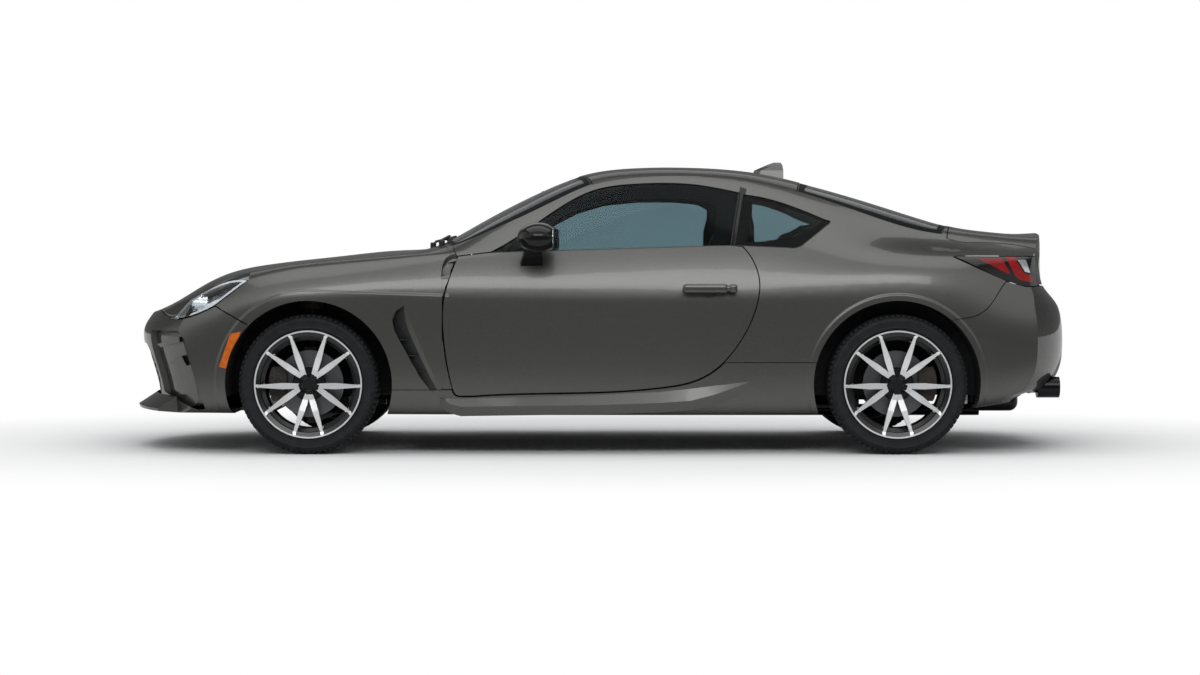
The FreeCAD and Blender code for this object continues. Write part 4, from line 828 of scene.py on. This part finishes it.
def stuffed(build, voxel, cap, seams):
    """Fills a pad as padding does: a cloth run under pressure, held to a cap, then sewn in along its seams."""
    mesh = bpy.data.meshes.new("pad")
    build.to_mesh(mesh)
    build.free()
    pad = add_object("pad", mesh)
    scene = bpy.context.scene
    pad.modifiers.new("skin", "REMESH").mode = "VOXEL"
    pad.modifiers["skin"].voxel_size = voxel
    skin = evaluated_mesh(pad)
    bpy.data.objects.remove(pad)
    pad = add_object("pad", skin)
    start = [v.co.copy() for v in skin.vertices]
    cloth = pad.modifiers.new("stuffing", "CLOTH")
    cloth.settings.quality = 4
    cloth.settings.use_pressure = True
    cloth.settings.uniform_pressure_force = 4.0
    cloth.settings.effector_weights.gravity = 0.0
    cloth.settings.tension_stiffness = 12.0
    cloth.collision_settings.use_collision = False
    cloth.point_cache.frame_end = CLOTH_FRAMES
    for frame_number in range(1, CLOTH_FRAMES + 1):
        scene.frame_set(frame_number)
    swollen = evaluated_mesh(pad)
    for place, vertex in zip(start, swollen.vertices):
        step = vertex.co - place
        vertex.co = place + step * min(1.0, cap / max(step.length, 1e-9))
    pad.modifiers.remove(cloth)
    scene.frame_set(1)
    bpy.data.objects.remove(pad)
    made = bmesh.new()
    made.from_mesh(swollen)
    made.normal_update()
    for _ in range(2):
        bmesh.ops.smooth_vert(made, verts=made.verts, factor=0.5, use_axis_x=True, use_axis_y=True, use_axis_z=True)
    made.normal_update()
    for seam in seams:
        for vertex in made.verts:
            away = abs(seam(vertex.co))
            if away < SEAM_REACH:
                vertex.co -= vertex.normal * SEAM_DEPTH * (1 - away / SEAM_REACH)
    return made


def mirrored_copy(build):
    """The same mesh for the car's other side."""
    copy = build.copy()
    bmesh.ops.scale(copy, vec=(1, -1, 1), verts=copy.verts)
    bmesh.ops.reverse_faces(copy, faces=copy.faces)
    return copy


class COUPE_OT_seats(bpy.types.Operator):
    """Sew the front seats and the rear bench"""
    bl_idname = "coupe.seats"
    bl_label = "Seats"

    def execute(self, context):
        middle = SEAT_MIDDLE

        def ribs(half):
            return [lambda p, y=middle + sign * half: p.y - y for sign in (-1, 1)]

        cushion = [((-0.125 + 0.455 * t, middle, 0.300 + 0.012 * t),
                    0.150 + 0.055 * math.sin(math.pi * min(1, 0.25 + t)),
                    0.028 + 0.020 * math.sin(math.pi * min(1.0, 0.3 + 0.55 * t)), math.pi / 2)
                   for t in (0.0, 0.05, 0.2, 0.4, 0.6, 0.8, 0.95, 1.0)]
        back = [((0.375 + t * math.sin(SEAT_LEAN) * 0.55, middle, 0.345 + t * 0.53),
                 0.150 + 0.050 * math.sin(math.pi * (0.2 + 0.6 * t)), 0.024 + 0.018 * math.sin(math.pi * t),
                 math.pi - SEAT_LEAN) for t in (0.0, 0.06, 0.2, 0.4, 0.6, 0.8, 0.94, 1.0)]
        head = [((0.537 + 0.05 * t, middle, 0.850 + 0.135 * t), 0.070 + 0.042 * math.sin(math.pi * (0.15 + 0.7 * t)),
                 0.018 + 0.016 * math.sin(math.pi * t), math.pi - SEAT_LEAN) for t in (0.0, 0.1, 0.35, 0.65, 0.9, 1.0)]
        bench = [((0.70 + 0.26 * t, middle, 0.395), 0.235, 0.030 + 0.018 * math.sin(math.pi * t), math.pi / 2)
                 for t in (0.0, 0.1, 0.4, 0.7, 0.92, 1.0)]
        support = [((0.975 + 0.10 * t, middle, 0.43 + 0.42 * t), 0.235, 0.022 + 0.016 * math.sin(math.pi * t),
                    math.pi - 0.22) for t in (0.0, 0.08, 0.3, 0.6, 0.92, 1.0)]
        for label, sections, voxel, cap, seams in (
                ("seat_cushion", cushion, 0.007, 0.012, ribs(0.125) + [lambda p: p.x - 0.10]),
                ("seat_back", back, 0.007, 0.012, ribs(0.120) + [lambda p: p.z - 0.62]),
                ("seat_headrest", head, 0.006, 0.008, []),
                ("bench_cushion", bench, 0.009, 0.012, ribs(0.14)), ("bench_back", support, 0.009, 0.012, ribs(0.14))):
            left = stuffed(pad_shell(sections), voxel, cap, seams)
            for side, build in (("left", left), ("right", mirrored_copy(left))):
                piece = new_piece(f"{label}_{side}", "body", "woven_black_seat_cloth", build, 80)
                if piece.name == "seat_cushion_left":
                    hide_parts("front_seats")
        dress("rear_seat", GREY)
        for side, sign in SIDES:
            rails = [((0.42, 0.034, 0.020), (0.115, sign * y, 0.214), 0.005) for y in (0.22, 0.52)]
            stalks = tube([[(0.500, sign * (0.370 + w), 0.80), (0.535, sign * (0.370 + w), 0.90)]
                           for w in (-0.045, 0.045)], 0.006)
            new_piece("seat_frame_" + side, "body", GREY, joined(blocks(
                ((0.40, 0.40, 0.050), (0.115, sign * 0.370, 0.240), 0.018),
                ((0.46, 0.030, 0.110), (0.115, sign * 0.548, 0.262), 0.012),
                ((0.46, 0.030, 0.110), (0.115, sign * 0.192, 0.262), 0.012), *rails) + [stalks]))
        return {"FINISHED"}


def blocks(*rows):
    """Several blocks, each from its size, place, edge, turn and steps."""
    return [block(*row) for row in rows]


class COUPE_OT_cabin(bpy.types.Operator):
    """Trim the cabin"""
    bl_idname = "coupe.cabin"
    bl_label = "Cabin"

    def execute(self, context):
        for node in ("dashboard", "steering_wheel"):
            dress(node, GREY)
        new_piece("dash_hoods", "body", GREY, joined(blocks(
            ((0.20, 0.36, 0.050), (-0.330, -0.360, 0.905), 0.022, (0, -6, 0), 3),
            ((0.030, 0.230, 0.120), (-0.262, 0.0, 0.815), 0.008, (0, 12, 0), 3),
            ((0.12, 0.16, 0.05), (-0.02, 0.0, 0.415), 0.015, (0, -4, 0), 3))))
        new_piece("dash_screens", "body", GLOSS, joined(blocks(
            ((0.006, 0.200, 0.096), (-0.247, 0.0, 0.815), 0.002, (0, 12, 0)),
            ((0.006, 0.260, 0.080), (-0.262, -0.360, 0.855), 0.002, (0, 24, 0)))))
        vents = []
        for y in (-0.62, -0.145, 0.145, 0.62):
            vents.append(lathe([(0.028, -0.006), (0.034, -0.006), (0.036, 0.0), (0.034, 0.008), (0.028, 0.008)],
                               (-0.262, y, 0.79), 32, "X"))
            vents += [block((0.003, 0.054, 0.004), (-0.262, y, 0.79 + dz), 0.001) for dz in (-0.014, 0, 0.014)]
        new_piece("dash_vents", "body", GLOSS, joined(vents))
        new_piece("gear_lever", "body", GLOSS, joined([
            lathe([(0.0, 0.0), (0.040, 0.0), (0.030, 0.02), (0.016, 0.05), (0.009, 0.07), (0.007, 0.11), (0.0, 0.11)],
                  (-0.06, 0.0, 0.405), 28, "Z", False),
            lathe([(0.0, 0.0), (0.016, 0.002), (0.024, 0.018), (0.022, 0.036), (0.012, 0.046), (0.0, 0.047)],
                  (-0.06, 0.0, 0.510), 28, "Z", False),
            block((0.20, 0.030, 0.026), (0.16, 0.055, 0.440), 0.010, (0, -14, 0), 3)]))
        places = [-0.36 + dy for dy in (-0.09, 0.0, 0.10)]
        pedals = [block((0.008, 0.05, 0.09), (-0.560, y, 0.345), 0.003, (0, 28, 0)) for y in places]
        pedals.append(tube([[(-0.570, y, 0.37), (-0.595, y, 0.55)] for y in places], 0.007))
        new_piece("pedals", "body", "brushed_exhaust_steel", joined(pedals))
        new_piece("rear_view_mirror", "body", GLOSS, joined([
            block((0.020, 0.230, 0.060), (-0.245, 0.0, 1.115), 0.009, (0, 8, 0), 3),
            tube([[(-0.250, 0.0, 1.13), (-0.27, 0.0, 1.165)]], 0.006)]))
        for side, sign in SIDES:
            new_piece("door_card_" + side, "door_" + side, GREY, joined(blocks(
                ((0.62, 0.050, 0.055), (-0.02, sign * 0.725, 0.62), 0.018, (0, 3, 0), 3),
                ((0.24, 0.020, 0.030), (-0.10, sign * 0.705, 0.665), 0.009, (0, 3, 0), 3),
                ((0.66, 0.026, 0.11), (-0.06, sign * 0.738, 0.40), 0.011, (0, 2, 0), 3),
                ((0.07, 0.012, 0.022), (-0.28, sign * 0.739, 0.735), 0.005))))
        return {"FINISHED"}


def probe(node):
    """A tree of a node's surface, to cast rays at."""
    build = bmesh.new()
    build.from_mesh(NODES[node].data)
    tree = BVHTree.FromBMesh(build)
    build.free()
    return tree


def strip(rows, thickness=0.0012):
    """A thin closed sheet through rows of places."""
    build = bmesh.new()
    sheet(build, [[build.verts.new(place) for place in row] for row in rows])
    thicken(build, Vector((0, -1, 0)), thickness)
    return build


def from_left(tree, x, z, reach=3.0):
    """Where a ray from the car's left side meets a surface."""
    return tree.ray_cast(Vector((x, BESIDE, z)), Vector((0, 1, 0)), reach)[0]


def from_above(tree, x, y):
    """Where a ray from above meets a surface, and the surface's normal there."""
    return tree.ray_cast(Vector((x, y, ABOVE)), Vector((0, 0, -1)))[:2]


def fender_returns():
    """The left fender's rear edge, turned back to the door outside the circle that the door's edge sweeps."""
    fender, door = probe("fenders"), probe("door_left")
    runs, run = [], []
    for step in range(RETURN_STEPS):
        z = RETURN_FOOT + step * RETURN_PITCH
        ahead, behind = [[x for x in (-0.760 + 0.003 * k for k in range(count)) if from_left(tree, x, z, 0.42)]
                         for tree, count in ((fender, 50), (door, 60))]
        wanted = None
        if ahead and behind:
            start = from_left(fender, ahead[-1], z)
            edge = from_left(door, behind[0] + 0.003, z)
            rear = behind[0] - RETURN_GAP
            if rear < DOOR_HINGE[0]:
                rear = DOOR_HINGE[0] - math.hypot(behind[0] - DOOR_HINGE[0], -edge.y - DOOR_HINGE[1]) - SWING_GAP
            if rear - start.x > 0.005:
                y = start.y + (edge.y - start.y) * ((rear - start.x) / (edge.x - start.x))
                wanted = [start + Vector((-0.004, 0.0015, 0)), start + Vector((0, 0.0004, 0)),
                          Vector((rear, y, z)), Vector((rear, y + 0.010, z))]
        if wanted:
            run.append(wanted)
        if run and (not wanted or step == RETURN_STEPS - 1):
            runs.append(run)
            run = []
    return joined([strip(run) for run in runs if len(run) > 2])


def wiper(screen, cowl, pivot, tip):
    """A wiper's blade along the foot of the windscreen, its arm and its spindle, seated on the cowl."""
    stations = [-1.0 + 0.004 * j for j in range(160)]
    places = []
    for k in range(WIPER_STEPS + 1):
        y = pivot + 0.06 + (tip - pivot - 0.06) * k / WIPER_STEPS
        for x in stations:
            hit, normal = from_above(screen, x, y)
            if hit and normal.z > 0.3:
                break
        hit, normal = from_above(screen, x + 0.035 + 0.03 * k / WIPER_STEPS, y)
        places.append(hit + normal * 0.009)
    seats = [hit for hit, normal in (from_above(cowl, x, pivot) for x in stations) if hit]
    lift = Vector((0, 0, 0.012))
    heel = seats[len(seats) // 2] + lift
    middle = places[WIPER_STEPS // 2] + lift
    arm = [tuple(heel), tuple(heel.lerp(middle, 0.12) + lift), tuple(middle)]
    spindle = lathe([(0.0, -0.02), (0.014, -0.02), (0.014, 0.008), (0.010, 0.013), (0.0, 0.013)], tuple(heel), 20,
                    "Z", False)
    return joined([tube([[tuple(p) for p in places]], 0.0045), tube([arm], 0.006), spindle])


class COUPE_OT_trim(bpy.types.Operator):
    """Add the returned fender edges, handles, wipers, mirror glass and pillar trim, widened as painted shade"""
    bl_idname = "coupe.trim"
    bl_label = "Trim"

    def execute(self, context):
        returns = fender_returns()
        new_piece("fender_return_right", "body", PAINT, mirrored_copy(returns))
        new_piece("fender_return_left", "body", PAINT, returns)
        for side, sign in SIDES:
            door_body = "door_" + side
            new_piece("handle_grip_" + side, door_body, PAINT, joined([
                block((0.196, 0.032, 0.041), (0.457, sign * 0.8935, 0.7255), 0.0155, steps=4),
                block((0.038, 0.030, 0.039), (0.5765, sign * 0.8925, 0.7255), 0.014, steps=4)]))
            lock = lathe([(0.0, -0.002), (0.0078, -0.002), (0.0078, 0.0012), (0.0062, 0.0018), (0.0, 0.0018)],
                         (0.577, sign * 0.9075, 0.7255), 24, closed=False)
            new_piece("door_lock_" + side, door_body, "turned_brake_steel", lock)
            glass = lathe([(0.0, 0.0), (0.078, 0.0), (0.078, 0.0015), (0.0, 0.0015)], (0, 0, 0), 48, "X", False)
            bmesh.ops.scale(glass, vec=(1, 1, 0.56), verts=glass.verts)
            bmesh.ops.translate(glass, vec=(-0.2072, sign * 0.912, 0.947), verts=glass.verts)
            new_piece("mirror_glass_" + side, door_body, SILVER, glass)
            # Dark pillar and rail trim inside the window: real trim, widened as painted shade of the cabin behind the
            # glass
            rows = []
            for outer, inner in SIDE_OPENING:
                row = []
                for share in (0.0, 0.5, 1.0):
                    x, z = [a + (b - a) * share for a, b in zip(outer, inner)]
                    row.append((x, sign * min(0.682, 0.552 + (1.159 - z) * 0.675), z))
                rows.append(row)
            new_piece("pillar_and_rail_trim_" + side, "body", GREY, strip(rows, 0.006))
        screen, cowl = probe("windscreen"), probe("cowl")
        for number, (pivot, tip) in enumerate(((-0.56, 0.03), (-0.02, 0.55)), 1):
            new_piece(f"wiper_{number}", "body", BLACK, wiper(screen, cowl, pivot, tip))
        return {"FINISHED"}


def studio_floor():
    """A pale floor that keeps the car's shadow and runs into the white background beyond it."""
    build = bmesh.new()
    build.faces.new([build.verts.new(place) for place in ((-90, -60, 0), (90, -60, 0), (90, 400, 0), (-90, 400, 0))])
    mesh = bpy.data.meshes.new("studio_floor")
    build.to_mesh(mesh)
    build.free()
    tree, shader, place = new_material("pale_studio_floor")
    grain = add_node(tree, NOISE, {"Vector": place, "Scale": 6.0})
    pale = add_node(tree, RAMP, [grain], [(0.3, linear("#f4f4f4")), (0.7, linear("#f6f6f6"))])
    fill(tree, shader, {"Base Color": pale, "Roughness": 0.9, "Specular IOR Level": 0.1})
    # Camera, glass and metal see the white; the shine of paint sees it fade towards the camera
    split = add_node(tree, SPLIT, [place])
    spread = [add_node(tree, MATH, (split.outputs[axis], size), operation="DIVIDE")
              for axis, size in (("X", 3.4), ("Y", 2.6))]
    squares = [add_node(tree, MATH, (term, term), operation="MULTIPLY") for term in spread]
    distance = add_node(tree, MATH, [add_node(tree, MATH, squares, operation="ADD")], operation="SQRT")
    far = add_node(tree, RANGE, (distance, 0.55, 1.25), interpolation_type="SMOOTHSTEP")
    near = add_node(tree, RANGE, (split.outputs["Y"], -0.9, -2.2, 1.0, 0.22), interpolation_type="SMOOTHSTEP")
    rays = add_node(tree, "ShaderNodeLightPath").outputs
    sharp = add_node(tree, MATH, (rays["Is Camera Ray"], rays["Is Transmission Ray"]), operation="MAXIMUM")
    seen = add_node(tree, MATH, (sharp, rays["Is Glossy Ray"]), operation="MAXIMUM")
    level = add_node(tree, MATH, (sharp, near), operation="MAXIMUM")
    white = add_node(tree, "ShaderNodeEmission", {"Color": linear("#ffffff"), "Strength": level})
    share = add_node(tree, MATH, (seen, far), operation="MULTIPLY")
    fill(tree, tree.nodes["Material Output"], {"Surface": add_node(tree, MIX, (share, shader, white))})
    mesh.materials.append(finish("pale_studio_floor"))
    add_object("studio_floor", mesh)


def studio_world(scene):
    """Soft light for matt surfaces, white for the camera, and a graded room for the shine of paint and metal."""
    world = bpy.data.worlds.new("studio_light")
    world.use_nodes = True
    scene.world = world
    tree = world.node_tree
    tree.nodes.clear()
    rays = add_node(tree, "ShaderNodeLightPath").outputs
    soft = add_node(tree, "ShaderNodeBackground", {"Color": linear("#d8dadc"), "Strength": 0.52})
    plain = add_node(tree, "ShaderNodeBackground", {"Color": linear("#ffffff"), "Strength": 1.0})
    # The room has a white band above the camera and a white front, and is darker round them
    way = add_node(tree, SPLIT, [add_node(tree, "ShaderNodeTexCoord").outputs["Generated"]]).outputs
    away = add_node(tree, MATH, (way["Y"], -1.0), operation="MULTIPLY")
    climb = add_node(tree, MATH, (way["Z"], away), operation="ARCTAN2")
    band = add_node(tree, RAMP, [add_node(tree, MATH, (climb, math.pi), operation="DIVIDE")],
                    [(place, (level, level, level, 1)) for place, level in
                     ((0.0, 0.10), (0.09, 0.16), (0.17, 0.95), (0.34, 1.0), (0.46, 0.26), (0.8, 0.16), (1.0, 0.2))])
    front = add_node(tree, RANGE, (way["X"], -0.55, -0.92, 0.0, 0.9), interpolation_type="SMOOTHSTEP")
    level = add_node(tree, MATH, (band, front), operation="MAXIMUM")
    room = add_node(tree, "ShaderNodeBackground", {"Color": linear("#ffffff"), "Strength": level})
    sharp = add_node(tree, MATH, (rays["Is Camera Ray"], rays["Is Transmission Ray"]), operation="MAXIMUM")
    shiny = add_node(tree, MIX, (rays["Is Glossy Ray"], soft, room))
    add_node(tree, "ShaderNodeOutputWorld", {"Surface": add_node(tree, MIX, (sharp, shiny, plain))})


class COUPE_OT_studio(bpy.types.Operator):
    """Set the floor, the lights and the camera"""
    bl_idname = "coupe.studio"
    bl_label = "Studio"

    def execute(self, context):
        scene = context.scene
        studio = scene.coupe_studio
        scene.view_settings.view_transform = "Standard"
        studio_floor()
        studio_world(scene)
        for name, place, tilt, size, power in (("top_light", (0, 0, 6), 0, (9, 5), 210),
                                               ("near_light", (0, -8, 5.5), 50, (9, 3), 300),
                                               ("far_light", (0, 7, 5), -50, (9, 3), 50)):
            data = bpy.data.lights.new(name, "AREA")
            data.shape = "RECTANGLE"
            data.size, data.size_y = size
            data.energy = power
            lamp = add_object(name, data)
            lamp.location = place
            lamp.rotation_euler = (math.radians(tilt), 0, 0)
        lens = bpy.data.cameras.new("studio_camera")
        lens.lens = studio.focal_length
        lens.clip_end = 200
        camera = add_object("studio_camera", lens)
        camera.location = (-0.0025, -studio.camera_distance, studio.camera_height)
        camera.rotation_euler = (math.pi / 2 - studio.camera_drop, 0, 0)
        scene.camera = camera
        return {"FINISHED"}


class COUPE_PT_panel(bpy.types.Panel):
    """Lists the coupe's sizes and its steps"""
    bl_label = "Coupe"
    bl_idname = "COUPE_PT_panel"
    bl_space_type = "VIEW_3D"
    bl_region_type = "UI"
    bl_category = "Coupe"

    def draw(self, context):
        for group in (context.scene.coupe_finish, context.scene.coupe_studio):
            for name in group.__annotations__:
                self.layout.prop(group, name)
        for operator in OPERATORS:
            self.layout.operator(operator.bl_idname)


OPERATORS = (COUPE_OT_finishes, COUPE_OT_body, COUPE_OT_seals, COUPE_OT_lamps, COUPE_OT_wheels,
             COUPE_OT_seats, COUPE_OT_cabin, COUPE_OT_trim, COUPE_OT_studio)
CLASSES = (CoupeFinish, CoupeStudio) + OPERATORS + (COUPE_PT_panel,)


def register():
    for item in CLASSES:
        bpy.utils.register_class(item)
    bpy.types.Scene.coupe_finish = PointerProperty(type=CoupeFinish)
    bpy.types.Scene.coupe_studio = PointerProperty(type=CoupeStudio)


def unregister():
    del bpy.types.Scene.coupe_studio
    del bpy.types.Scene.coupe_finish
    for item in reversed(CLASSES):
        bpy.utils.unregister_class(item)


def main():
    register()
    bpy.ops.coupe.finishes()
    bpy.ops.coupe.body()
    bpy.ops.coupe.seals()
    bpy.ops.coupe.lamps()
    bpy.ops.coupe.wheels()
    bpy.ops.coupe.seats()
    bpy.ops.coupe.cabin()
    bpy.ops.coupe.trim()
    bpy.ops.coupe.studio()


if __name__ == "__main__":
    main()
